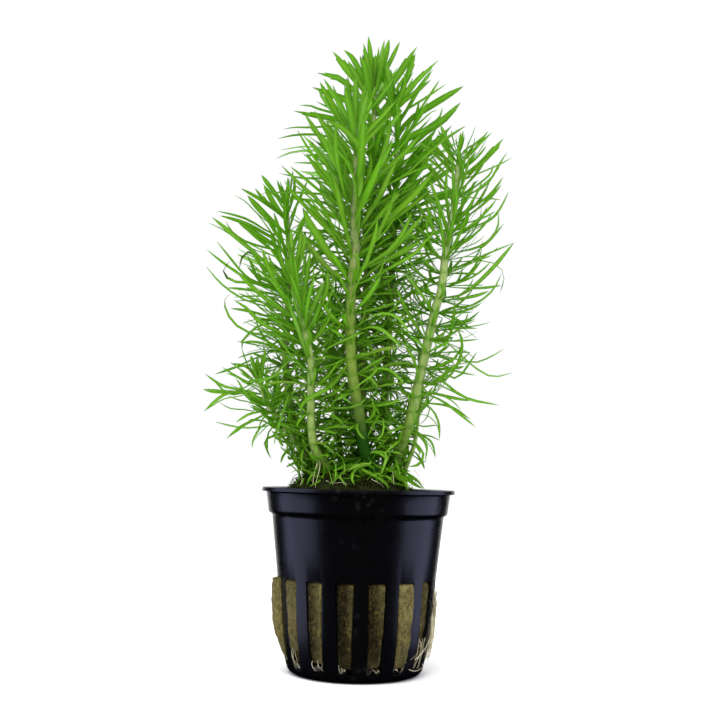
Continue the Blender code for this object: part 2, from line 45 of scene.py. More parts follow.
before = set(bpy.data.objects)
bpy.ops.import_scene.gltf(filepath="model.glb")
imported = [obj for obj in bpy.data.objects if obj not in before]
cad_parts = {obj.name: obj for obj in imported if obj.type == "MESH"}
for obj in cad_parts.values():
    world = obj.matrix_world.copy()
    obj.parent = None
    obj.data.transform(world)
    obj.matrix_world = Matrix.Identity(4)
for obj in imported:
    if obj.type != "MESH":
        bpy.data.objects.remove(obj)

MM = 0.001
PICTURE_WIDTH = 720

# The pot's sizes come from its solid, and the rest follows its shape. Heights and radii are in metres.
POT_LOW, POT_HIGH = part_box("pot")
POT_HEIGHT = 0.051
RIM_RADIUS = (POT_HIGH.x - POT_LOW.x) / 2
POT_WALL = 0.001
SLOT_COUNT = 16
SLOT_BOTTOM = 0.0022
SLOT_TOP = 0.0265
SLOT_BOTTOM_DEGREES = 10.6
SLOT_TOP_DEGREES = 13.2
SLOT_PITCH = math.tau / SLOT_COUNT
FIRST_SLOT_DEGREES = -98.0
FIRST_SLOT = math.radians(FIRST_SLOT_DEGREES)
DRAIN_INNER_RADIUS = 0.0065
DRAIN_OUTER_RADIUS = 0.013
MOUND_HEIGHT = 0.0545
MOUND_RADIUS = 0.0185
MOUND_FLAT = 0.6
MOUND_TILT = 0.0012
MOUND_SHIFT = -0.0018
MOSS_LUMP = 0.0009
MOSS_WAVES = 420
WOOL_EDGE_HEIGHT = 0.0485


class PotSettings(bpy.types.PropertyGroup):
    """Finish of the net pot."""

    plastic: FloatVectorProperty(
        name="Plastic",
        description="Colour of the black plastic",
        subtype="COLOR",
        default=(0.0008, 0.0009, 0.0017),
    )
    roughness: FloatProperty(
        name="Roughness",
        description="Roughness of clean plastic",
        subtype="FACTOR",
        default=0.25,
        min=0,
        max=1,
    )
    edge_radius: FloatProperty(
        name="Edge radius", description="Radius of the moulded edges", subtype="DISTANCE", default=0.00014
    )


class WoolSettings(bpy.types.PropertyGroup):
    """Rock wool, the moss on it and the roots in it."""

    wool: FloatVectorProperty(
        name="Wool",
        description="Colour of the damp rock wool",
        subtype="COLOR",
        default=(0.175, 0.149, 0.053),
    )
    moss: FloatVectorProperty(
        name="Moss", description="Colour of the moss", subtype="COLOR", default=(0.012, 0.020, 0.002)
    )
    root: FloatVectorProperty(
        name="Root", description="Colour of clean roots", subtype="COLOR", default=(0.70, 0.66, 0.47)
    )
    fibres: IntProperty(
        name="Fibres", description="Loose fibres on the wool in the slots", default=4200, min=0
    )
    sprigs: IntProperty(name="Sprigs", description="Sprigs of moss on the mound", default=1150, min=0)


class LeafSettings(bpy.types.PropertyGroup):
    """Colours of the shoots."""

    young: FloatVectorProperty(
        name="Young leaf",
        description="Colour of the upper leaves",
        subtype="COLOR",
        default=(0.137, 0.326, 0.010),
    )
    old: FloatVectorProperty(
        name="Old leaf",
        description="Colour of the lower leaves",
        subtype="COLOR",
        default=(0.212, 0.495, 0.012),
    )
    underside: FloatVectorProperty(
        name="Underside",
        description="Colour of the leaves' lower side",
        subtype="COLOR",
        default=(0.15, 0.37, 0.022),
    )
    stem: FloatVectorProperty(
        name="Stem", description="Colour of the stems", subtype="COLOR", default=(0.26, 0.40, 0.055)
    )


class StageSettings(bpy.types.PropertyGroup):
    """Camera, floor and lights."""

    lens_pixels: FloatProperty(
        name="Lens", description="Focal length in pixels of a picture 720 pixels wide", default=1054.5
    )
    distance: FloatProperty(
        name="Distance", description="From the camera to the pot's axis", subtype="DISTANCE", default=0.304
    )
    eye_height: FloatProperty(
        name="Eye height", description="Height of the camera", subtype="DISTANCE", default=0.05555
    )
    floor: FloatVectorProperty(
        name="Floor", description="Colour of the floor", subtype="COLOR", default=(0.90, 0.90, 0.90)
    )


# Materials


def scaled(colour, factor, lift=0.0):
    """The colour made darker or paler."""
    return tuple(min(factor * value + lift, 1) for value in colour)


class Wire:
    """The output of a node. Arithmetic on it adds Math nodes."""

    def __init__(self, finish, socket):
        self.finish = finish
        self.socket = socket

    def math(self, operation, *values):
        return self.finish.node("Math", {"operation": operation}, dict(enumerate(values)))

    def __add__(self, other):
        return self.math("ADD", self, other)

    __radd__ = __add__

    def __sub__(self, other):
        return self.math("SUBTRACT", self, other)

    def __rsub__(self, other):
        return self.math("SUBTRACT", other, self)

    def __mul__(self, other):
        return self.math("MULTIPLY", self, other)

    __rmul__ = __mul__

    def __abs__(self):
        return self.math("ABSOLUTE", self)

    def sine(self):
        return self.math("SINE", self)

    def clamped(self):
        return self.math("MINIMUM", self.math("MAXIMUM", self, 0), 1)

    def step(self, low, high):
        """0 at low, 1 at high, and smooth between."""
        settings = {"interpolation_type": "SMOOTHSTEP"}
        return self.finish.node("MapRange", settings, {"Value": self, "From Min": low, "From Max": high})


class Finish:
    """The nodes of a material, or of the sky."""

    def __init__(self, owner):
        self.owner = owner
        owner.use_nodes = True
        self.tree = owner.node_tree
        self.tree.nodes.clear()

    def node(self, kind, settings=None, sockets=None, output=0):
        """Adds a node of this kind, sets it up and returns one of its outputs."""
        node = self.tree.nodes.new("ShaderNode" + kind)
        for name, value in (settings or {}).items():
            setattr(node, name, value)
        for name, value in (sockets or {}).items():
            if isinstance(value, Wire):
                self.tree.links.new(value.socket, node.inputs[name])
            elif hasattr(value, "__len__") and node.inputs[name].type == "RGBA":
                node.inputs[name].default_value = (*value[:3], 1)
            else:
                node.inputs[name].default_value = value
        return Wire(self, node.outputs[output]) if node.outputs else node

    def attribute(self, name):
        return self.node("Attribute", {"attribute_name": name}, output=2)

    def place(self):
        return self.node("TexCoord", output=3)

    def height(self):
        return self.node("SeparateXYZ", None, {"Vector": self.place()}, output=2)

    def length(self, vector):
        return self.node("VectorMath", {"operation": "LENGTH"}, {0: vector}, output=1)

    def radius(self):
        """Distance from the pot's axis."""
        level = self.node("VectorMath", {"operation": "MULTIPLY"}, {0: self.place(), 1: (1, 1, 0)})
        return self.length(level)

    def painted_shade_among_feet(self, top=0.10):
        """Share of painted shade: 1 deep among the stems' feet, and 0 outside and above this height."""
        return self.radius().step(0.017, 0.005) * self.height().step(top, 0.058)

    def drawn_out(self, upwards):
        """Places scaled on Z: below 1, a pattern on them is longer upwards."""
        return self.node("Mapping", None, {"Vector": self.place(), "Scale": (1, 1, upwards)})

    def noise(self, scale, detail=3.0, roughness=0.5, place=None):
        sockets = {"Scale": scale, "Detail": detail, "Roughness": roughness, "Vector": place or self.place()}
        return self.node("TexNoise", None, sockets)

    def blend(self, first, second, share):
        """Colour first where share is 0, and second where it is 1."""
        return self.node("Mix", {"data_type": "RGBA"}, {0: share, 6: first, 7: second}, output=2)

    def layered(self, colour, *layers):
        """The colour under layers, each of them a colour and its share."""
        for over, share in layers:
            colour = self.blend(colour, over, share)
        return colour

    def bump(self, height, distance, strength=1.0, under=None):
        sockets = {"Height": height, "Distance": distance, "Strength": strength}
        if under:
            sockets["Normal"] = under
        return self.node("Bump", None, sockets)

    def done(self, sockets, glow=None, share=0.0):
        """Ends in a surface. Glow is the colour of the light that comes through it, and share is how much."""
        shader = self.node("BsdfPrincipled", None, sockets)
        if glow:
            through = self.node("BsdfTranslucent", None, {"Color": glow})
            shader = self.node("MixShader", None, {0: share, 1: shader, 2: through})
        self.node("OutputMaterial", None, {"Surface": shader})
        return self.owner


# Colours of dirt and wet on the pot, the wool and the roots, and of painted shade on the wool
DUST = (0.035, 0.036, 0.040)
BROWNED_WOOL = (0.085, 0.058, 0.016)
SOAKED_DEPTHS = (0.003, 0.002, 0.0004)
SOAKED_WOOL = (0.034, 0.025, 0.0040)
SOAKED_STRANDS = (0.080, 0.062, 0.014)
SOAKED_CLUMPS = (0.002, 0.0015, 0.0003)
# Near black: painted shade in the darkest corners of some slots
PAINTED_SHADE_BLACK = (0.002, 0.0015, 0.0005)
MOSS_LITTER = (0.013, 0.013, 0.003)
SOAKED_FIBRE = (0.006, 0.0045, 0.001)
WET_FIBRE = (0.065, 0.05, 0.014)
BROWN_MOSS = (0.018, 0.014, 0.003)
GREEN_MOSS = (0.05, 0.105, 0.008)
STAINED_ROOT = (0.36, 0.27, 0.12)
DARK_ROOT = (0.15, 0.11, 0.045)


def black_plastic(settings):
    """Glossy moulded plastic with a fine grain, slight waves, dust and faint rings of dried film."""
    finish = Finish(bpy.data.materials.new("black_plastic"))
    waves = finish.noise(120, 2)
    spots = finish.node("TexVoronoi", None, {"Scale": 420, "Vector": finish.place()})
    rings = abs(spots - 0.2).step(0.07, 0.0) * finish.noise(90, 1).step(0.52, 0.6)
    dust = finish.noise(1500, 4, 0.7).step(0.62, 0.8)
    grain = finish.bump(finish.noise(2600, 2), 0.00002, 0.35)
    return finish.done(
        {
            "Base Color": finish.blend(settings.plastic, DUST, (rings * 0.25 + dust * 0.2).clamped()),
            "Roughness": settings.roughness + waves * 0.06 + rings * 0.18 + dust * 0.12,
            "IOR": 1.5,
            "Normal": finish.bump(waves, 0.0004, 0.25, grain),
        }
    )


def damp_wool(settings):
    """Olive rock wool: matted fibres, pale strands and dark pits, browned, soaked in places, darker with
    painted shade on one side of some slots and near black in their darkest corners, mossy on top.
    """
    finish = Finish(bpy.data.materials.new("rock_wool"))
    strands = finish.noise(1500, 5, 0.65, finish.drawn_out(0.75))
    matting = finish.noise(420, 4, 0.6)
    clumps = finish.noise(760, 3, 0.6)
    wet_and_shade = finish.attribute("wet_and_shade")
    height = finish.height()
    dark = scaled(settings.wool, 0.3)
    pale = scaled(settings.wool, 1.6, 0.02)
    soaked = finish.layered(
        SOAKED_DEPTHS,
        (SOAKED_WOOL, strands.step(0.38, 0.6)),
        (SOAKED_STRANDS, strands.step(0.55, 0.68) * clumps.step(0.6, 0.38)),
        (SOAKED_CLUMPS, clumps.step(0.52, 0.66) * 0.8),
    )
    moss = finish.blend(settings.moss, MOSS_LITTER, finish.noise(900, 4, 0.7).step(0.4, 0.62))
    colour = finish.layered(
        dark,
        (settings.wool, strands.step(0.3, 0.56)),
        (pale, strands.step(0.54, 0.78) * 0.7),
        (dark, matting.step(0.46, 0.7) * 0.7),
        (pale, clumps.step(0.48, 0.3) * 0.35),
        (BROWNED_WOOL, finish.noise(130, 2).step(0.45, 0.68) * 0.5),
        (soaked, (wet_and_shade * 0.97).clamped()),
        # Painted shade: near black where the wool's darkness passes 0.95
        (PAINTED_SHADE_BLACK, wet_and_shade.step(0.95, 1.7)),
        (dark, height.step(0.012, 0.003) * 0.6),
        (moss, height.step(0.044, WOOL_EDGE_HEIGHT)),
    )
    normal = finish.bump(matting, 0.0009, 0.8, finish.bump(strands, 0.0005, 0.9))
    return finish.done({"Base Color": colour, "Roughness": 0.9, "Specular IOR Level": 0.1, "Normal": normal})


def wool_strand(settings):
    """A single fibre: pale straw that varies from strand to strand, and darker where the wool is wet and
    where painted shade lies in a slot.
    """
    finish = Finish(bpy.data.materials.new("wool_fibre"))
    tone = finish.attribute("tone")
    colour = finish.layered(
        scaled(settings.wool, 0.45),
        (scaled(settings.wool, 1.7, 0.03), tone),
        (settings.wool, finish.noise(1200, 2).step(0.4, 0.6) * 0.6),
        (finish.blend(SOAKED_FIBRE, WET_FIBRE, tone * tone), finish.attribute("wet_and_shade").clamped()),
    )
    return finish.done({"Base Color": colour, "Roughness": 0.7, "Specular IOR Level": 0.2})


def moss_green(settings):
    """Moss: dark olive at the foot of each sprig and fresher at its tips, browned in patches."""
    finish = Finish(bpy.data.materials.new("moss"))
    tone = finish.attribute("tone")
    colour = finish.layered(
        settings.moss,
        (scaled(settings.moss, 2.2), (finish.attribute("along") * 0.7 + tone * 0.5).clamped()),
        (BROWN_MOSS, finish.noise(160, 2).step(0.48, 0.62) * 0.7),
        (GREEN_MOSS, finish.noise(210, 2).step(0.52, 0.66) * (tone * 0.7 + 0.3)),
    )
    return finish.done({"Base Color": colour, "Roughness": 0.8, "Specular IOR Level": 0.05})


def root_skin(settings):
    """Clean ivory roots, stained brown in places."""
    finish = Finish(bpy.data.materials.new("pale_root"))
    tone = finish.attribute("tone")
    stain = finish.noise(300, 3).step(0.45, 0.7)
    colour = finish.layered(
        settings.root,
        (STAINED_ROOT, (stain * 0.55 + tone * 0.3).clamped()),
        (DARK_ROOT, tone.step(0.6, 0.9) * 0.7),
    )
    normal = finish.bump(finish.noise(2500, 2), 0.00008, 0.6)
    return finish.done({"Base Color": colour, "Roughness": 0.5, "Normal": normal})


# Colours of places on the leaves and the stems, among them painted light, shade and sheen, and of the light
# that comes through them
LIME_LEAF = (0.22, 0.46, 0.03)
SHADED_LEAF = (0.014, 0.12, 0.0006)
OUTER_LEAF = (0.070, 0.22, 0.003)
PAINTED_LIGHT_INNER_LEAF = (0.30, 0.62, 0.035)
PAINTED_SHADE_LEAF_EDGE = (0.035, 0.16, 0.002)
PAINTED_LEAF_SHEEN = (0.30, 0.55, 0.06)
MIDRIB = (0.30, 0.54, 0.08)
LEAF_FOOT = (0.30, 0.42, 0.12)
YELLOWED_LEAF = (0.36, 0.46, 0.07)
WITHERED_LEAF = (0.028, 0.018, 0.006)
LEAF_GLOW = (0.31, 0.65, 0.005)
STEM_MOTTLE = (0.12, 0.25, 0.016)
UPPER_STEM = (0.38, 0.48, 0.23)
OUTER_STEM = (0.50, 0.64, 0.26)
STEM_STREAKS = (0.34, 0.48, 0.13)
FLUSHED_STEM = (0.34, 0.26, 0.13)
STEM_RIBS = (0.10, 0.21, 0.012)
STEM_JOINTS = (0.10, 0.25, 0.012)
SHADED_STEM = (0.012, 0.070, 0.0003)
STEM_GLOW = (0.14, 0.27, 0.006)


def leaf_skin(settings):
    """Fresh leaf: a pale midrib, fine veins along it, a paler lower side, and dry brown tips on some; painted
    sheen along the middle, painted shade at the margins and among the stems' feet, and painted light in the
    core.
    """
    finish = Finish(bpy.data.materials.new("leaf_green"))
    tone = finish.attribute("tone")
    along = finish.attribute("along")
    across = abs(finish.attribute("across"))
    mottle = finish.noise(700, 4, 0.6)
    # Share of painted shade deep among the stems' feet
    painted_shade_share = finish.painted_shade_among_feet()
    outer = finish.radius().step(0.012, 0.028)
    middle = finish.height().step(0.155, 0.125)
    vein = (across * 26).sine() * 0.5 + 0.5
    midrib = across.step(0.16, 0.03)
    # Painted sheen: a pale band along the middle of each leaf, weaker in painted shade
    painted_sheen = across.step(0.5, 0.05) * (tone * 0.5 + 0.1)
    deep = scaled(settings.old, 0.36)
    colour = finish.layered(
        settings.young,
        (settings.old, (finish.attribute("age") * 0.8 + tone * 0.45).clamped()),
        (deep, mottle.step(0.5, 0.75) * 0.5),
        (LIME_LEAF, mottle.step(0.5, 0.25) * tone.step(0.6, 0.1) * 0.5),
        (settings.underside, finish.attribute("below") * 0.75),
        (SHADED_LEAF, painted_shade_share * tone * 0.7),
        (OUTER_LEAF, outer * 0.3),
        # Painted light: paler leaves in the core below the crown, where shade falls
        (PAINTED_LIGHT_INNER_LEAF, (1 - outer) * middle * 0.22),
        (deep, vein * 0.14),
        # Painted shade: darker leaf margins
        (PAINTED_SHADE_LEAF_EDGE, across.step(0.55, 1.0) * 0.65),
        (PAINTED_LEAF_SHEEN, painted_sheen - painted_shade_share * painted_sheen * 0.5),
        (MIDRIB, midrib * (0.6 - painted_shade_share * 0.35)),
        (LEAF_FOOT, along.step(0.09, 0.0) * 0.7),
        (YELLOWED_LEAF, finish.attribute("yellow") * 0.8),
        (WITHERED_LEAF, (along + mottle * 0.12 - 1.06 + finish.attribute("dry")).step(0.0, 0.05)),
    )
    sockets = {
        "Base Color": colour,
        "Roughness": 0.42 + mottle * 0.12,
        "Specular IOR Level": 0.14,
        "Normal": finish.bump(vein * 0.3 + midrib, 0.00012, 0.6),
        "Coat Weight": tone.step(0.5, 0.95) * 0.6,
        "Coat Roughness": 0.3,
    }
    return finish.done(sockets, glow=LEAF_GLOW, share=0.43)


def stem_skin(settings):
    """Pale green stem with fine ribs, darker joints, and pinkish brown where the attribute flush says."""
    finish = Finish(bpy.data.materials.new("stem_green"))
    lengthwise = finish.drawn_out(0.12)
    ribs = finish.noise(2200, 3, 0.6, lengthwise)
    colour = finish.layered(
        settings.stem,
        (STEM_MOTTLE, finish.noise(380, 3).step(0.42, 0.7) * 0.5),
        (UPPER_STEM, finish.height().step(0.100, 0.130) * 0.75),
        (OUTER_STEM, finish.radius().step(0.012, 0.019) * 0.5),
        (STEM_STREAKS, finish.noise(5200, 2, 0.5, lengthwise).step(0.5, 0.68) * 0.55),
        (FLUSHED_STEM, finish.attribute("flush") * 0.5),
        (STEM_RIBS, ribs.step(0.5, 0.7) * 0.55),
        (STEM_JOINTS, finish.attribute("joint") * 0.55),
        (SHADED_STEM, (finish.painted_shade_among_feet(0.088) * 1.3).clamped()),
    )
    normal = finish.bump(ribs, 0.00018, 0.8)
    sockets = {"Base Color": colour, "Roughness": 0.42, "Specular IOR Level": 0.13, "Normal": normal}
    return finish.done(sockets, glow=STEM_GLOW, share=0.18)


def plain_floor(settings):
    """Matt pale floor with a barely visible unevenness, which fades out far from the pot."""
    finish = Finish(bpy.data.materials.new("studio_floor"))
    colour = finish.blend(settings.floor, scaled(settings.floor, 0.985), finish.noise(3, 2).step(0.3, 0.7))
    near = finish.length(finish.place()).step(1.0, 0.3)
    return finish.done({"Base Color": colour, "Roughness": 0.9, "Alpha": near})


# Modelling


def start_piece():
    """Nothing is selected and no object is in edit mode."""
    if bpy.context.object and bpy.context.object.mode != "OBJECT":
        bpy.ops.object.mode_set(mode="OBJECT")
    bpy.ops.object.select_all(action="DESELECT")


def select_where(obj, kind, chosen):
    """Selects the vertices, edges or faces of the object in edit mode for which chosen is true."""
    bpy.ops.object.mode_set(mode="EDIT")
    bpy.ops.mesh.select_mode(type=kind)
    bpy.ops.mesh.select_all(action="DESELECT")
    bpy.ops.object.mode_set(mode="OBJECT")
    elements = {"VERT": obj.data.vertices, "EDGE": obj.data.edges, "FACE": obj.data.polygons}[kind]
    for element in elements:
        element.select = chosen(element)
    bpy.ops.object.mode_set(mode="EDIT")


def apply_modifier(obj, kind, **settings):
    modifier = obj.modifiers.new(kind.lower(), kind)
    for name, value in settings.items():
        setattr(modifier, name, value)
    bpy.context.view_layer.objects.active = obj
    bpy.ops.object.modifier_apply(modifier=modifier.name)


def smooth(obj, degrees):
    start_piece()
    obj.select_set(True)
    bpy.context.view_layer.objects.active = obj
    bpy.ops.object.shade_smooth_by_angle(angle=math.radians(degrees))


def finish_piece(obj, name, materials, slot, *nodes):
    """Names a finished piece, gives it its materials and sets it in the frame."""
    obj.name = name
    obj.data.name = name
    for number, material in enumerate(materials):
        if number < len(obj.data.materials):
            obj.data.materials[number] = material
        else:
            obj.data.materials.append(material)
    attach(obj, "root")
    if nodes:
        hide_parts(*nodes)


def clamp(value, low=0, high=1):
    return min(max(value, low), high)


def between(low, middle, top, share):
    """The value at share, 0 to 1, of a run from low through middle to top."""
    if share < 0.5:
        return low + (middle - low) * share * 2
    return middle + (top - middle) * (share * 2 - 1)


def unit(vectors):
    length = np.linalg.norm(vectors, axis=-1, keepdims=True)
    return vectors / np.maximum(length, 1e-12)


class Shape(NamedTuple):
    """A modelled shape whose Z runs from 0 to 1 along it, as arrays. Its facts are values of its points."""

    points: np.ndarray
    faces: list
    facts: dict


def shape_of(obj, facts):
    """The arrays of a modelled object, which is then removed."""
    points = np.array([vert.co for vert in obj.data.vertices])
    faces = [list(face.vertices) for face in obj.data.polygons]
    mesh = obj.data
    bpy.data.objects.remove(obj)
    bpy.data.meshes.remove(mesh)
    return Shape(points, faces, facts)


def add_tube(sides, cells, tip=1.0):
    """A closed tube of radius 1 from 0 to 1 on Z, cut into cells. The tip is the radius of its upper end."""
    start_piece()
    bpy.ops.mesh.primitive_cone_add(
        vertices=sides, radius1=1, radius2=tip, depth=1, location=(0, 0, 0.5), end_fill_type="TRIFAN"
    )
    tube = bpy.context.object
    bpy.ops.object.transform_apply(location=True)
    verts = tube.data.vertices

    def is_upright(edge):
        low, high = (verts[index].co.z for index in edge.vertices)
        return abs(low - high) > 0.5

    select_where(tube, "EDGE", is_upright)
    bpy.ops.mesh.subdivide_edgering(number_cuts=cells - 1, interpolation="LINEAR")
    bpy.ops.object.mode_set(mode="OBJECT")
    return tube


def model_tube(sides, cells, tip=1.0):
    tube = add_tube(sides, cells, tip)
    return shape_of(tube, {"along": np.array([vert.co.z for vert in tube.data.vertices])})


# Rows of a blade: share of its length, then half its width on the left and on the right
PLAIN_BLADE = (
    (0.0, 0.34, 0.34), (0.08, 0.45, 0.45), (0.20, 0.64, 0.64), (0.34, 0.82, 0.82), (0.48, 0.95, 0.95),
    (0.62, 1.0, 1.0), (0.74, 0.97, 0.97), (0.84, 0.80, 0.80), (0.92, 0.52, 0.52), (0.97, 0.24, 0.24),
    (1.0, 0.03, 0.03),
)
NOTCHED_BLADE = (
    (0.0, 0.34, 0.34), (0.10, 0.48, 0.48), (0.24, 0.70, 0.70), (0.40, 0.90, 0.90), (0.56, 1.0, 1.0),
    (0.70, 1.06, 1.0), (0.79, 1.06, 0.86), (0.80, 0.66, 0.84), (0.88, 0.52, 0.72), (0.89, 0.48, 0.38),
    (1.0, 0.03, 0.03),
)
THREAD_BLADE = (
    (0.0, 0.6, 0.6), (0.12, 0.85, 0.85), (0.25, 1.0, 1.0), (0.40, 1.0, 1.0), (0.55, 1.0, 1.0),
    (0.70, 0.94, 0.94), (0.84, 0.74, 0.74), (0.94, 0.42, 0.42), (1.0, 0.04, 0.04),
)
BLADE_FOLD = 0.28
BLADE_THICKNESS = 0.12


def mirrored(outline):
    return tuple((share, right, left) for share, left, right in outline)


BLADES = (PLAIN_BLADE, NOTCHED_BLADE, mirrored(NOTCHED_BLADE), THREAD_BLADE)


def model_blade(outline):
    """One leaf blade: a flat tube with sharp edges, folded along its midrib, narrow at foot and point."""
    cells = len(outline) - 1
    blade = add_tube(4, cells)
    start = [vert.co.copy() for vert in blade.data.vertices]
    facts = {
        "along": np.array([outline[round(co.z * cells)][0] for co in start]),
        "across": np.array([float(round(co.x)) for co in start]),
        "below": np.array([0.5 - 0.5 * round(co.y) for co in start]),
    }

    def pick(row, low, high):
        """Selects the vertices of a row that first lay between these on X."""

        def chosen(vert):
            first = start[vert.index]
            return abs(first.z * cells - row) < 0.1 and low < first.x < high

        select_where(blade, "VERT", chosen)

    for row, (share, left, right) in enumerate(outline):
        width = (left + right) / 2
        pick(row, -2, 2)
        bpy.ops.transform.translate(value=(0, 0, share - row / cells))
        pick(row, -2, -0.5)
        bpy.ops.transform.translate(value=(1 - left, 0, 0))
        pick(row, 0.5, 2)
        bpy.ops.transform.translate(value=(right - 1, 0, 0))
        pick(row, -0.5, 0.5)
        bpy.ops.transform.resize(value=(1, BLADE_THICKNESS * width**0.5, 1), center_override=(0, 0, 0))
        bpy.ops.transform.translate(value=(0, -BLADE_FOLD * width, 0))
    bpy.ops.object.mode_set(mode="OBJECT")
    return shape_of(blade, facts)


def sweep(shape, lines, across, sizes, twist=None):
    """One copy of the shape along each line.

    Lines is (copies, steps, 3), across (copies, 3) and sizes (copies, steps). The twist turns a copy about
    its line, by two angles in radians, at its start and at its end.
    """
    steps = lines.shape[1]
    tangents = unit(np.gradient(lines, axis=1))
    place = np.clip(shape.points[:, 2], 0, 1) * (steps - 1)
    low = np.minimum(place.astype(int), steps - 2)
    share = (place - low)[None, :, None]
    centre = lines[:, low] * (1 - share) + lines[:, low + 1] * share
    along = unit(tangents[:, low] * (1 - share) + tangents[:, low + 1] * share)
    size = (sizes[:, low] * (1 - share[..., 0]) + sizes[:, low + 1] * share[..., 0])[..., None]
    side = np.broadcast_to(across[:, None, :], along.shape)
    side = unit(side - along * (side * along).sum(-1, keepdims=True))
    up = np.cross(along, side)
    if twist is not None:
        turn = (twist[:, 0:1] + (twist[:, 1:2] - twist[:, 0:1]) * place[None] / (steps - 1))[..., None]
        side, up = side * np.cos(turn) + up * np.sin(turn), up * np.cos(turn) - side * np.sin(turn)
    return centre + side * shape.points[None, :, 0:1] * size + up * shape.points[None, :, 1:2] * size


class Heap:
    """Swept copies of shapes, gathered into one mesh. Each fact becomes an attribute of its points."""

    def __init__(self, *facts):
        self.facts = {fact: [] for fact in facts}
        self.points = []
        self.faces = []
        self.finishes = []
        self.count = 0

    def add(self, shape, points, finish=0, **facts):
        copies, size = points.shape[:2]
        for first in range(self.count, self.count + copies * size, size):
            self.faces += [[first + corner for corner in face] for face in shape.faces]
        self.finishes += [finish] * (copies * len(shape.faces))
        self.points.append(points.reshape(-1, 3))
        self.count += copies * size
        known = {**shape.facts, **facts}
        for fact, values in self.facts.items():
            values.append(np.broadcast_to(known.get(fact, 0.0), (copies, size)).reshape(-1))

    def made(self, name, degrees=40):
        mesh = bpy.data.meshes.new(name)
        mesh.from_pydata(np.vstack(self.points).tolist(), [], self.faces)
        for fact, values in self.facts.items():
            attribute = mesh.attributes.new(fact, "FLOAT", "POINT")
            attribute.data.foreach_set("value", np.concatenate(values).astype(np.float32))
        if max(self.finishes):
            for _ in range(max(self.finishes) + 1):
                mesh.materials.append(None)
        mesh.polygons.foreach_set("material_index", np.array(self.finishes, np.int32))
        mesh.update()
        obj = bpy.data.objects.new(name, mesh)
        bpy.context.scene.collection.objects.link(obj)
        smooth(obj, degrees)
        return obj


def curve_lines(controls, steps):
    """Smooth lines through (copies, 4, 3) control points of cubic curves."""
    t = np.linspace(0, 1, steps)[None, :, None]
    a, b, c, d = (controls[:, index : index + 1] for index in range(4))
    return a * (1 - t) ** 3 + 3 * b * t * (1 - t) ** 2 + 3 * c * t**2 * (1 - t) + d * t**3


def random_shares(chance, count):
    """One random value from 0 to 1 for each copy."""
    return np.array([chance.random() for _ in range(count)])[:, None]


def random_radii(chance, limits, lines):
    """A random radius for each line, the same all along it."""
    return np.array([chance.uniform(*limits) for _ in lines])[:, None] * np.ones(lines.shape[1])


# Net pot


def slot_share(height):
    """How far up the slots a height is: 0 at their bottom and 1 at their top."""
    return (height - SLOT_BOTTOM) / (SLOT_TOP - SLOT_BOTTOM)


def slot_half_angle(height):
    degrees = SLOT_BOTTOM_DEGREES + (SLOT_TOP_DEGREES - SLOT_BOTTOM_DEGREES) * clamp(slot_share(height))
    return math.radians(degrees) / 2


def slot_middle(slot):
    return FIRST_SLOT + slot * math.tau / SLOT_COUNT


def slot_of(angle):
    """The nearest slot's number, and the angle from its middle."""
    place = (angle - FIRST_SLOT) / SLOT_PITCH
    number = round(place)
    return number % SLOT_COUNT, (place - number) * SLOT_PITCH


def on_circle(angle, radius):
    return radius * math.cos(angle), radius * math.sin(angle)


# Outer face of the pot as (radius, height): its underside, then its wall from the foot to the edge of the rim
UNDER_RIM = POT_HEIGHT - POT_WALL
UNDERSIDE = ((DRAIN_INNER_RADIUS, 0), (DRAIN_OUTER_RADIUS, 0))
WALL = (
    (0.0166, 0), (0.0175, 0.00012), (0.0181, 0.0004), (0.01862, 0.0008), (0.0190, 0.0013),
    (0.01925, SLOT_BOTTOM), (0.0204, 0.0065), (0.0211, 0.0105), (0.0216, 0.0145), (0.02206, 0.0205),
    (0.02245, SLOT_TOP), (0.0234, 0.035), (0.02425, 0.0428), (0.02432, 0.0435), (0.0247, 0.04395),
    (0.0251, 0.0441), (0.02536, 0.0444), (0.02545, 0.0449), (0.0258, 0.0475), (0.02612, UNDER_RIM - 0.0004),
    (0.02625, UNDER_RIM - 0.0001), (0.0265, UNDER_RIM), (0.0270, UNDER_RIM), (RIM_RADIUS, UNDER_RIM + 0.0001),
)
# Columns of faces across a slot, and as many across a rib
SLOT_CELLS = 6
POT_COLUMNS = SLOT_COUNT * 2 * SLOT_CELLS
# Edges sharper than this are rounded
SHARP_DEGREES = 50


def shape_columns(obj):
    """Moves the pot's even columns so that each slot and each rib has its own width at every height."""
    for vert in obj.data.vertices:
        turn = math.atan2(vert.co.y, vert.co.x) - FIRST_SLOT
        slot, cell = divmod(round(turn / (math.tau / POT_COLUMNS) + SLOT_CELLS / 2), 2 * SLOT_CELLS)
        half = slot_half_angle(vert.co.z)
        if cell <= SLOT_CELLS:
            angle = half * (2 * cell / SLOT_CELLS - 1)
        else:
            angle = half + (SLOT_PITCH - 2 * half) * (cell / SLOT_CELLS - 1)
        angle += FIRST_SLOT + slot * SLOT_PITCH
        vert.co.x, vert.co.y = on_circle(angle, math.hypot(vert.co.x, vert.co.y))


def is_open(face):
    """Whether a face of the pot lies in a slot or in a drain hole."""
    x, y, z = face.center
    slot, offset = slot_of(math.atan2(y, x))
    in_drain = z < 1e-5 and DRAIN_INNER_RADIUS < math.hypot(x, y) < DRAIN_OUTER_RADIUS and slot % 2 == 0
    return abs(offset) < slot_half_angle(z) and (SLOT_BOTTOM < z < SLOT_TOP or in_drain)


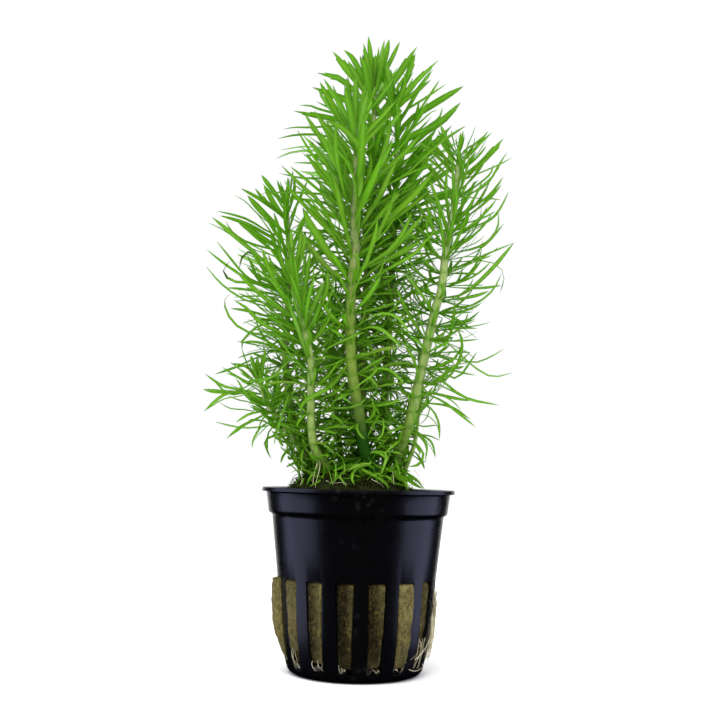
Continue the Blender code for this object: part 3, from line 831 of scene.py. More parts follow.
def model_pot(settings):
    """The net pot: turned up ring by ring, slots and drains cut out, then given its wall and soft edges."""
    start_piece()
    profile = UNDERSIDE + WALL
    bpy.ops.mesh.primitive_circle_add(
        vertices=POT_COLUMNS,
        radius=DRAIN_INNER_RADIUS,
        fill_type="NGON",
        location=(0, 0, 0),
        rotation=(0, 0, math.radians(FIRST_SLOT_DEGREES - 90) + math.pi / SLOT_COUNT / 2),
    )
    pot = bpy.context.object
    bpy.ops.object.transform_apply(location=True, rotation=True)
    bpy.ops.object.mode_set(mode="EDIT")
    bpy.ops.mesh.select_mode(type="EDGE")
    bpy.ops.mesh.select_all(action="SELECT")
    bpy.ops.mesh.region_to_loop()
    for (old_radius, old_height), (radius, height) in zip(profile, profile[1:]):
        bpy.ops.mesh.extrude_edges_move(TRANSFORM_OT_translate={"value": (0, 0, height - old_height)})
        scale = radius / old_radius
        bpy.ops.transform.resize(value=(scale, scale, 1), center_override=(0, 0, height))
    bpy.ops.object.mode_set(mode="OBJECT")
    shape_columns(pot)
    select_where(pot, "FACE", is_open)
    bpy.ops.mesh.delete(type="FACE")
    bpy.ops.mesh.select_all(action="SELECT")
    bpy.ops.mesh.normals_make_consistent(inside=False)
    bpy.ops.object.mode_set(mode="OBJECT")
    if pot.data.polygons[0].normal.z > 0:
        pot.data.flip_normals()
    apply_modifier(pot, "SOLIDIFY", thickness=POT_WALL, offset=-1, use_even_offset=True)
    sharp = math.radians(SHARP_DEGREES)
    edges = {"limit_method": "ANGLE", "angle_limit": sharp}
    apply_modifier(pot, "BEVEL", width=settings.edge_radius, segments=3, **edges)
    smooth(pot, SHARP_DEGREES)
    return pot


class PLANT_OT_net_pot(bpy.types.Operator):
    """Adds the slotted net pot with its collar and flared rim"""

    bl_idname = "plant.net_pot"
    bl_label = "Net pot"

    def execute(self, context):
        settings = context.scene.plant_pot
        pot = model_pot(settings)
        finish_piece(pot, "net_pot", [black_plastic(settings)], "black_plastic", "pot")
        return {"FINISHED"}


# Rock wool

# How far the wool stands out of the pot's outer face in a slot, in mm, at the slot's bottom, middle and top
SLOT_WOOL = {
    0: (-0.6, -0.2, -0.35),
    1: (-0.4, 0.1, -0.2),
    2: (0.3, 1.0, 0.4),
    3: (-3.2, -0.6, -0.5),
    4: (-0.6, -0.2, -0.4),
    12: (-0.2, 0.7, 0.3),
    13: (-0.3, 1.9, 1.5),
    14: (-0.4, 0.1, 0.0),
    15: (-0.5, -0.1, -0.2),
}
OTHER_SLOT_WOOL = (-0.6, 0.1, -0.3)
# Height in metres at which the wool in a slot ends, where it ends early, and how softly and how deep it
# falls back
SLOT_FEET = {1: 0.0042, 3: 0.0105, 5: 0.0055, 8: 0.0062, 11: 0.005, 14: 0.0078, 15: 0.0052}
SLOT_FEET_SOFT = 0.0011
SLOT_FEET_DEPTH = 0.0026
# How dark the wool is in a slot, at the slot's bottom, middle and top: up to 0.95 as wet wool, and above that
# also as painted shade that goes towards black
SLOT_WET_AND_SHADE = {
    0: (1.4, 1.05, 0.9),
    1: (1.2, 1.0, 0.68),
    2: (0.4, 0.22, 0.0),
    3: (0.8, 0.5, 0.5),
    4: (0.6, 0.6, 0.6),
    13: (0.3, 0.1, 0.25),
    14: (0.6, 0.38, 0.5),
    15: (0.7, 0.76, 0.64),
}
OTHER_SLOT_WET_AND_SHADE = (0.8, 0.5, 0.4)
# Slots whose wool has painted shade towards one side, the lower in angle, and how strong it is
SLOT_PAINTED_SHADE = {15: 0.4, 0: 0.5, 1: 0.35}
WOOL_COLUMNS = 448
WOOL_ROWS = 170
WOOL_FOOT = 0.0036
WOOL_FOOT_ROUND = 0.0022
WALL_GAP = 0.0003
WOOL_GAP = 0.00006
# Shares of the wool's rows that end its foot, the part behind the slots and its side
FOOT_ROWS, SLOT_ROWS, SIDE_ROWS = 0.05, 0.70, 0.78
SLOTS_END = 0.0275
# Lumps, tufts and strands of the wool's side: waves in a metre round it and up it, and their height
SIDE_ROUGHNESS = ((330, 240, 0.00045), (1100, 520, 0.00028), (2600, 1100, 0.00012))
# Crumbs of its top: waves in a metre, a number that sets them apart, and their height
TOP_ROUGHNESS = ((700, 5, 0.0005), (1500, 9, 0.00025))


def outer_radius(height):
    """Radius of the pot's outer face at this height of its wall."""
    return np.interp(height, [point[1] for point in WALL], [point[0] for point in WALL])


def eased(share):
    """The share with a soft start and a soft end."""
    return share * share * (3 - 2 * share)


def wool_height(x, y):
    """Height of the mossy top of the wool: a lumpy mound that falls away to the wall."""
    radius = np.hypot(x - MOUND_SHIFT, y)
    lumps = MOSS_LUMP * np.sin(x * MOSS_WAVES) * np.cos(y * MOSS_WAVES)
    fall = np.clip((radius / MOUND_RADIUS - MOUND_FLAT) / MOUND_FLAT, 0, 1)
    mound = MOUND_HEIGHT + lumps - MOUND_TILT * x / MOUND_RADIUS
    return mound + (WOOL_EDGE_HEIGHT - mound) * eased(fall)


def wool_radius(angle, height):
    """Radius of the wool's side: it presses on the wall behind the ribs and swells into each slot."""
    behind = outer_radius(height) - POT_WALL - WALL_GAP
    foot = max(WOOL_FOOT + WOOL_FOOT_ROUND - height, 0) / WOOL_FOOT_ROUND
    behind -= 0.6 * WOOL_FOOT_ROUND * min(foot, 1) ** 2
    slot, offset = slot_of(angle)
    share = slot_share(height)
    sideways = 1 - abs(offset) / (slot_half_angle(height) - WOOL_GAP / behind)
    if sideways <= 0 or not 0 < share < 1:
        return behind
    swell = between(*SLOT_WOOL.get(slot, OTHER_SLOT_WOOL), share) * MM + POT_WALL + WALL_GAP
    swell -= (swell + SLOT_FEET_DEPTH) * eased(clamp((SLOT_FEET.get(slot, 0) - height) / SLOT_FEET_SOFT))
    pillow = min(sideways * 9, 1) ** 0.5 * min((1 - share) * 40, 1) ** 0.5 * min(share * 12, 1)
    return behind + swell * (pillow if swell > 0 else 1)


# How dark the wool is at a point: wet wool from its slot's table, plus painted shade towards one side of some
# slots
def wet_and_shade_at(x, y, height):
    slot, offset = slot_of(math.atan2(y, x))
    wet_and_shade = between(*SLOT_WET_AND_SHADE.get(slot, OTHER_SLOT_WET_AND_SHADE), min(height / SLOT_TOP, 1))
    side = -offset / slot_half_angle(height)
    return wet_and_shade + SLOT_PAINTED_SHADE.get(slot, 0) * clamp(side + 0.2, -0.6, 1.2)


def wool_outline(share):
    """Radius share and height of the plug's outline, from the middle of its foot to the middle of its top."""
    if share < FOOT_ROWS:
        return share / FOOT_ROWS, WOOL_FOOT
    if share < SLOT_ROWS:
        return 1, WOOL_FOOT + (SLOTS_END - WOOL_FOOT) * (share - FOOT_ROWS) / (SLOT_ROWS - FOOT_ROWS)
    if share < SIDE_ROWS:
        return 1, SLOTS_END + (WOOL_EDGE_HEIGHT - SLOTS_END) * (share - SLOT_ROWS) / (SIDE_ROWS - SLOT_ROWS)
    return (1 - share) / (1 - SIDE_ROWS), None


def model_wool():
    """The plug of wool: a sheet wrapped into a turned form, swollen into the slots, heaped up and matted."""
    start_piece()
    bpy.ops.mesh.primitive_grid_add(x_subdivisions=WOOL_COLUMNS, y_subdivisions=WOOL_ROWS, size=1)
    wool = bpy.context.object
    for vert in wool.data.vertices:
        angle = (vert.co.x + 0.5) * math.tau
        reach, height = wool_outline(clamp(vert.co.y + 0.5))
        radius = reach * wool_radius(angle, WOOL_EDGE_HEIGHT if height is None else height)
        x, y = on_circle(angle, radius)
        rough = 0
        if height is None:
            height = float(wool_height(x, y))
            for fine, apart, size in TOP_ROUGHNESS:
                rough += noise.noise((x * fine, y * fine, apart)) * size
            height += rough
        elif reach == 1:
            for fine, up, size in SIDE_ROUGHNESS:
                rough += noise.noise((x * fine, y * fine, height * up)) * size
            radius += rough
            x, y = on_circle(angle, radius)
        vert.co = (x, y, height)
    bpy.ops.object.mode_set(mode="EDIT")
    bpy.ops.mesh.select_all(action="SELECT")
    bpy.ops.mesh.remove_doubles(threshold=1e-6)
    bpy.ops.mesh.normals_make_consistent(inside=False)
    bpy.ops.object.mode_set(mode="OBJECT")
    bpy.ops.object.shade_smooth()
    # The wool's darkness: wet wool, and painted shade in some slots
    wet_and_shade = wool.data.attributes.new("wet_and_shade", "FLOAT", "POINT")
    wet_and_shade.data.foreach_set("value", [wet_and_shade_at(*vert.co) for vert in wool.data.vertices])
    return wool


# Places of a fibre's four points along its run, and how far they stand off the wool
FIBRE_POINTS = ((-1, -0.0001), (-0.4, 0.0003), (0.4, 0.00028), (1, -0.0001))
FIBRE_RUNS = (0.0006, 0.0018)
FIBRE_RADII = (0.00002, 0.000045)
FIBRE_STEPS = 6


def on_wall(angle, radius, height):
    return np.array((*on_circle(angle, radius), height))


def fibre_controls(chance, slot):
    """Control points of a fibre that lies on the wool in a slot, mostly upright."""
    height = chance.uniform(0.0035, 0.0255)
    half = slot_half_angle(height) * 0.8
    angle = slot_middle(slot) + chance.uniform(-half, half)
    run = chance.uniform(*FIBRE_RUNS)
    lean = chance.uniform(-1.5, 1.5)
    controls = []
    for share, lift in FIBRE_POINTS:
        z = clamp(height + run * share * math.cos(lean), SLOT_BOTTOM + 0.001, SLOT_TOP - 0.0004)
        turn = angle + (run * share * math.sin(lean) + chance.uniform(-0.0002, 0.0002)) / 0.021
        half = slot_half_angle(z) * 0.93
        turn = clamp(turn, slot_middle(slot) - half, slot_middle(slot) + half)
        controls.append(on_wall(turn, wool_radius(turn, z) + lift, z))
    return controls


class PLANT_OT_rock_wool(bpy.types.Operator):
    """Adds the plug of rock wool that bulges out through the slots, and its loose fibres"""

    bl_idname = "plant.rock_wool"
    bl_label = "Rock wool"

    def execute(self, context):
        settings = context.scene.plant_wool
        finish_piece(model_wool(), "wool_plug", [damp_wool(settings)], "rock_wool", "rock_wool")
        chance = random.Random(11)
        controls = [fibre_controls(chance, number % SLOT_COUNT) for number in range(settings.fibres)]
        lines = curve_lines(np.array(controls), FIBRE_STEPS)
        sizes = random_radii(chance, FIBRE_RADII, lines)
        fibre = model_tube(3, 5)
        heap = Heap("tone", "wet_and_shade")
        points = sweep(fibre, lines, lines[:, 0] * (1, 1, 0), sizes)
        wet_and_shade = np.array([[wet_and_shade_at(*line[2])] for line in lines])
        heap.add(fibre, points, tone=random_shares(chance, len(lines)), wet_and_shade=wet_and_shade)
        finish_piece(heap.made("wool_fibres"), "wool_fibres", [wool_strand(settings)], "rock_wool")
        return {"FINISHED"}


# Moss

MOSS_REACH = 0.0228
NEEDLES = 7
NEEDLE_SIZES = (0.0007, 0.0017)
NEEDLE_RADII = (0.00008, 0.00015)
NEEDLE_STEPS = 4
# The step over which the mound's slope is measured, and how far the tufts lean for its fall over that step
SLOPE_STEP = 0.0004
SLOPE_LEAN = 1500


def moss_needles(chance, count):
    """Lines of the needles of many small tufts that stand on the mound."""
    lines = []
    for _ in range(count):
        angle = chance.uniform(0, math.tau)
        x, y = on_circle(angle, MOSS_REACH * math.sqrt(chance.random()))
        foot = np.array((x, y, float(wool_height(x, y)) - 0.0003))
        slope = np.array((wool_height(x + SLOPE_STEP, y) - foot[2], wool_height(x, y + SLOPE_STEP) - foot[2]))
        facing = np.array((*(-slope * SLOPE_LEAN), 1.0)) + [chance.uniform(-0.4, 0.4) for _ in range(3)]
        size = chance.uniform(*NEEDLE_SIZES)
        for _ in range(NEEDLES):
            out = np.array([chance.uniform(-1, 1), chance.uniform(-1, 1), chance.uniform(-0.1, 0.6)])
            start = foot + out * 0.0002
            tip = start + unit(facing + out * 1.3) * size * chance.uniform(0.6, 1.1)
            middle = (start + tip) / 2 + unit(facing) * size * 0.22
            lines.append((start, middle, middle, tip))
    return curve_lines(np.array(lines), NEEDLE_STEPS)


class PLANT_OT_moss(bpy.types.Operator):
    """Adds the moss on the mound"""

    bl_idname = "plant.moss"
    bl_label = "Moss"

    def execute(self, context):
        settings = context.scene.plant_wool
        chance = random.Random(23)
        lines = moss_needles(chance, settings.sprigs)
        needle = model_tube(3, 3, tip=0.15)
        heap = Heap("tone", "along")
        radii = random_radii(chance, NEEDLE_RADII, lines)
        points = sweep(needle, lines, np.roll(lines[:, 0], 1, axis=1), radii)
        heap.add(needle, points, tone=random_shares(chance, len(lines)))
        finish_piece(heap.made("moss"), "moss", [moss_green(settings)], "rock_wool")
        return {"FINISHED"}


# Roots

# Roots that can be told apart, as their points in mm and their radius in mm
SINGLE_ROOTS = (
    (((-11.3, -8.5, 59.3), (-11.5, -10.5, 56.9), (-12.9, -12.5, 54.5), (-12.6, -14.5, 51.9)), 0.13),
    (((-11.3, -8.5, 59.0), (-10.1, -10.8, 56.4), (-12.1, -13.2, 53.5), (-11.9, -15.5, 51.2)), 0.12),
    (((-8.9, -14.5, 53.3), (-7.0, -14.8, 51.7), (-5.7, -15.2, 53.4), (-3.7, -15.5, 52.5)), 0.1),
    (((-5.0, -13.5, 55.0), (-4.7, -14.3, 53.1), (-3.7, -15.2, 52.8), (-2.8, -16.0, 51.3)), 0.11),
    (((9.5, -6.0, 58.4), (8.8, -8.5, 56.6), (10.1, -11.0, 55.0), (9.5, -13.5, 52.6)), 0.1),
    (((3.6, -14.5, 54.1), (5.0, -14.8, 53.2), (5.8, -15.2, 53.5), (6.8, -15.5, 52.1)), 0.09),
    (((-16.0, -6.0, 57.2), (-16.8, -7.7, 55.7), (-15.5, -9.3, 54.1), (-16.5, -11.0, 52.2)), 0.09),
    (((15.5, -5.0, 56.7), (16.9, -6.3, 55.6), (16.3, -7.7, 54.0), (17.9, -9.0, 52.1)), 0.09),
)
# Roots that cross the ribs low on the right: degrees from the slot left of the mat's and height in mm,
# point after point, and the radius in mm
CROSSING_ROOTS = (
    (((-5, 9.6), (-1, 8.8), (5, 7.4), (12, 7.0)), 0.13),
    (((-6, 5.6), (0, 6.6), (6, 8.6), (10, 11.0)), 0.12),
    (((3, 7.6), (7, 6.0), (12, 4.4), (15, 2.6)), 0.11),
    (((-4, 7.2), (-9, 6.2), (-13, 5.4), (-18, 5.2)), 0.10),
    (((4, 11.2), (2, 8.4), (3, 5.4), (0, 3.0)), 0.13),
    (((-12, 3.4), (-6, 2.4), (2, 2.0), (10, 2.9)), 0.09),
    (((12, 3.4), (18, 2.6), (24, 3.2), (29, 2.2)), 0.10),
)
CROSSING_LIFT = 0.00018
# The slot that the root mat has grown out of
ROOT_SLOT = 4
MAT_THREADS = 150
MAT_TOPS = (0.012, 0.0238)
MAT_LENGTHS = (0.004, 0.012)
MAT_FOOT = 0.0046
MAT_RADII = (0.05, 0.13)
# Roots that curl at the foot of the wool in each slot: the shares of their length at their points, and how
# far out
CAVITY_THREADS = 4
CAVITY_FOOT = 0.0042
CAVITY_RADII = (0.045, 0.095)
CAVITY_POINTS = ((0, -0.0006), (0.35, 0.0), (0.7, 0.0002), (1, -0.0005))
ROOT_STEPS = 14
ROOT_WANDER = 0.00006
ROOT_TIP = 0.45


def root_mat_line(chance):
    """A root of the mat that has grown out of its slot: it wanders down it and in and out of the mat."""
    top = chance.uniform(*MAT_TOPS)
    length = chance.uniform(*MAT_LENGTHS)
    side = chance.uniform(-1, 1)
    controls = []
    for share in (0, 0.33, 0.66, 1):
        height = max(top - length * share, MAT_FOOT)
        side = clamp(side + chance.uniform(-0.8, 0.8), -1)
        turn = slot_middle(ROOT_SLOT) + slot_half_angle(height) * 0.80 * side
        out = chance.uniform(0.0, 0.0011) if 0 < share < 1 else chance.uniform(-0.0006, 0.0009)
        controls.append(on_wall(turn, outer_radius(height) + out, height))
    return controls


def cavity_line(chance, slot):
    """A root that curls about the foot of the wool in a slot."""
    top = max(SLOT_FEET.get(slot, 0), CAVITY_FOOT) + chance.uniform(-0.0008, 0.0016)
    side = chance.uniform(-0.8, 0.8)
    controls = []
    for share, out in CAVITY_POINTS:
        height = top + (SLOT_BOTTOM + chance.uniform(0.0003, 0.0012) - top) * share
        side = clamp(side + chance.uniform(-0.9, 0.9), -1)
        turn = slot_middle(slot) + slot_half_angle(height) * 0.84 * side
        controls.append(on_wall(turn, outer_radius(height) + out + chance.uniform(-0.0005, 0.0002), height))
    return controls


def crossing_line(places):
    controls = []
    for degrees, height in places:
        turn = slot_middle(ROOT_SLOT - 1) + math.radians(degrees)
        controls.append(on_wall(turn, outer_radius(height * MM) + CROSSING_LIFT, height * MM))
    return controls


def add_roots(chance, root, roots, skin, name, *nodes):
    """Makes a piece of roots, each given by its control points and its radius in mm."""
    lines = curve_lines(np.array([controls for controls, _ in roots]), ROOT_STEPS)
    steps = [[[chance.gauss(0, ROOT_WANDER) for _ in range(3)] for _ in range(ROOT_STEPS)] for _ in roots]
    taper = np.linspace(1, ROOT_TIP, ROOT_STEPS)
    sizes = np.array([radius for _, radius in roots])[:, None] * MM * taper
    heap = Heap("tone")
    points = sweep(root, lines + np.cumsum(np.array(steps), 1), np.roll(lines[:, 0], 1, axis=1), sizes)
    heap.add(root, points, tone=random_shares(chance, len(lines)))
    finish_piece(heap.made(name), name, [skin], "pale_root", *nodes)


class PLANT_OT_roots(bpy.types.Operator):
    """Adds the root mat in its slot, the roots at the foot of the slots and those on the moss"""

    bl_idname = "plant.roots"
    bl_label = "Roots"

    def execute(self, context):
        skin = root_skin(context.scene.plant_wool)
        chance = random.Random(5)
        root = model_tube(5, 12)
        mat = [(root_mat_line(chance), chance.uniform(*MAT_RADII)) for _ in range(MAT_THREADS)]
        add_roots(chance, root, mat, skin, "root_mat", "roots")
        slots = [slot for slot in range(SLOT_COUNT) for _ in range(CAVITY_THREADS)]
        threads = [(cavity_line(chance, slot), chance.uniform(*CAVITY_RADII)) for slot in slots]
        threads += [(crossing_line(places), radius) for places, radius in CROSSING_ROOTS]
        threads += [(np.array(points) * MM, radius) for points, radius in SINGLE_ROOTS]
        add_roots(chance, root, threads, skin, "single_roots")
        return {"FINISHED"}


# Shoots

FIRST_WHORL = 0.0562
WHORL_CROWDING = 1.25
WHORL_TURN = 0.15
STEM_TAPER = 0.55
TAPER_START = 1.6
ROUTE_STEPS = 14
LEAF_STEPS = 14
SEED = 7
CANDIDATES = 14
# Room that a leaf has to its neighbours, the least that it grows in, and how far the laid leaves keep
# others off
CLEARANCE = 0.0009
LEAST_ROOM = 0.0002
LAID_ROOM = 0.0002
# Stems that can be seen from the front between their leaves, how far up that is so, and the share of the
# missing leaves that is still missing above it
OPEN_STEMS = (0, 3, 4)
OPEN_TOP = 0.6
OPEN_ABOVE = 0.4
OPEN_SIDE = -0.55
# How far from the pot's axis leaves reach at some heights, and how far to the right of it
SKIRT_HEIGHTS = (0.051, 0.060, 0.068, 0.075, 0.085, 0.100)
SKIRT_REACHES = (0.0125, 0.0200, 0.0265, 0.0330, 0.0410, 0.0600)
RIGHT_REACHES = (0.0110, 0.0130, 0.0150, 0.0185, 0.0260, 0.0600)
# Shares of the topmost leaves that are missing, because most of them are laid in their places
CROWN_SHARE = 0.74
CROWN_GAPS = 0.65
# Thread-like leaves between the large ones of the lower whorls
FRINGE_TOP = 0.76
FRINGE_LEAVES = 27
FRINGE_SIZES = (0.4, 1.05)
FRINGE_WIDTHS = (0.5, 1.1)
# Small curled leaves on the moss between the stems' feet: where they start, and their sizes in metres
FOOT_LEAVES = 200
FOOT_REACH = 0.0150
FOOT_SHIFT = -0.002
FOOT_LENGTHS = (0.0035, 0.0095)
FOOT_HALF_WIDTHS = (0.00022, 0.00044)
# The side in degrees on which most of them are missing, how wide that gap is, and the share that is missing
FOOT_GAP_DEGREES = -84
FOOT_GAP_WIDTH = 0.2
FOOT_GAP_SHARE = 0.7
# How late on a stem its leaves become long and wide, and which blades its leaves have: wide ones may be
# notched
LEAF_GROWTH = 1.6
FIRST_CHECKED = 4
WIDE_LEAF = 0.0008
WIDE_BLADES = (0, 0, 1, 2)
THREAD = 3


class Habit(NamedTuple):
    """How leaves of one kind stand. Angles are in degrees, and the room is a share of the clearance."""

    lift: float
    hook: float
    hook_growth: float
    sway: float
    low_sway: float
    missing: float
    room: float


BROAD_LEAF = Habit(lift=26, hook=70, hook_growth=1.3, sway=0.15, low_sway=0.7, missing=0.8, room=1)
FRINGE_LEAF = Habit(lift=50, hook=125, hook_growth=1, sway=0.6, low_sway=0.8, missing=0.7, room=0.26)


class Stem(NamedTuple):
    """One stem, in mm and degrees. Three numbers run from its foot through its middle to its top."""

    node: str
    radius: float
    whorls: int
    leaves: int
    flush: tuple
    route: tuple
    length: tuple
    width: tuple
    start_angle: tuple
    end_angle: tuple


STEMS = (
    Stem(
        "stem_main", 1.75, 27, 6, (0.0, 0.25, 1.0),
        ((4.8, -6, 47.5), (4.0, -6, 56), (1.4, -6, 62), (-0.3, -6.5, 72), (-2.9, -7, 86.5),
         (-3.4, -7.5, 104.5),
         (-3.0, -7.6, 113), (-2.3, -7.8, 119), (-2.8, -8, 124), (-2.8, -8.4, 137.7), (-2.7, -8.7, 145),
         (-2.9, -9, 158)),
        (10, 25, 17), (0.75, 2.1, 2.1), (98, 58, 36), (104, 44, 26),
    ),
    Stem(
        "stem_tall", 1.3, 30, 7, (0.3, 0.6, 0.6),
        ((0.8, 5, 47.5), (0.8, 5, 56), (0.4, 6, 70), (0.6, 7, 100), (2.1, 8, 137.5), (2.2, 9, 174)),
        (10, 25, 15), (0.75, 1.8, 2.1), (95, 78, 32), (98, 70, 20),
    ),
    Stem(
        "stem_back_right", 1.3, 29, 7, (1.0, 0.8, 0.3),
        ((8.2, 6, 47.5), (8.0, 6, 56), (7.1, 7.5, 73), (8.0, 9, 98), (8.9, 10.5, 126), (9.5, 12, 149),
         (9.1, 13, 172)),
        (10, 25, 15), (0.75, 1.8, 2.1), (95, 72, 42), (98, 60, 34),
    ),
    Stem(
        "stem_right", 1.6, 26, 7, (0.0, 0.0, 0.1),
        ((8.6, -1, 47.5), (8.4, -1, 55), (10.8, -1, 61), (14.3, -1.5, 71), (17.6, -2, 86.5),
         (20.9, -2.6, 102.5), (22.7, -2.8, 109), (23.9, -3, 120.5), (26.3, -3.5, 135), (27.4, -4, 150)),
        (12, 19, 10), (0.7, 1.15, 1.2), (98, 82, 34), (92, 34, 16),
    ),
    Stem(
        "stem_left_front", 1.3, 17, 7, (0.0, 0.0, 0.3),
        ((-8.2, -6.5, 47.5), (-8.4, -6.5, 56), (-12.6, -7.5, 62.5), (-13.8, -9, 72),
         (-14.3, -11, 87), (-17.9, -12.5, 102.5), (-20, -14, 113.5)),
        (9, 18, 12), (0.7, 1.4, 1.6), (98, 62, 26), (100, 44, 16),
    ),
    Stem(
        "stem_left_back", 1.2, 22, 7, (0.2, 0.3, 0.3),
        ((-14.6, 5, 47.5), (-15.2, 5, 57), (-19.0, 6.5, 68), (-22.6, 8.5, 87.5), (-22.4, 10, 108),
         (-23.6, 12.5, 133), (-24.1, 13, 138.5)),
        (10, 19, 11), (0.7, 1.3, 1.4), (98, 76, 34), (100, 62, 24),
    ),
    Stem(
        "stem_far_left", 1.05, 13, 7, (0.2, 0.0, 0.0),
        ((-14.0, -2.5, 47.5), (-14.0, -2.5, 56), (-17.6, -3, 63), (-25.5, -3.5, 73), (-28.4, -4, 79),
         (-29.4, -4, 83)),
        (9, 13, 8), (0.7, 0.95, 0.9), (95, 74, 34), (105, 66, 22),
    ),
    Stem(
        "stem_low_right", 0.85, 8, 8, (0.0, 0.0, 0.0),
        ((13.0, 4, 47.5), (13.2, 4, 56), (16.0, 6, 64), (17.5, 9, 74)),
        (9, 11, 8), (0.7, 0.85, 0.9), (95, 70, 30), (115, 80, 20),
    ),
    Stem(
        "stem_back", 1.0, 17, 8, (0.3, 0.3, 0.3),
        ((-5.0, 11, 47.5), (-5.2, 11, 56), (-6.5, 13, 68), (-8.5, 16, 88), (-9.5, 18, 108)),
        (10, 18, 11), (0.75, 1.3, 1.3), (95, 72, 30), (104, 60, 20),
    ),
)

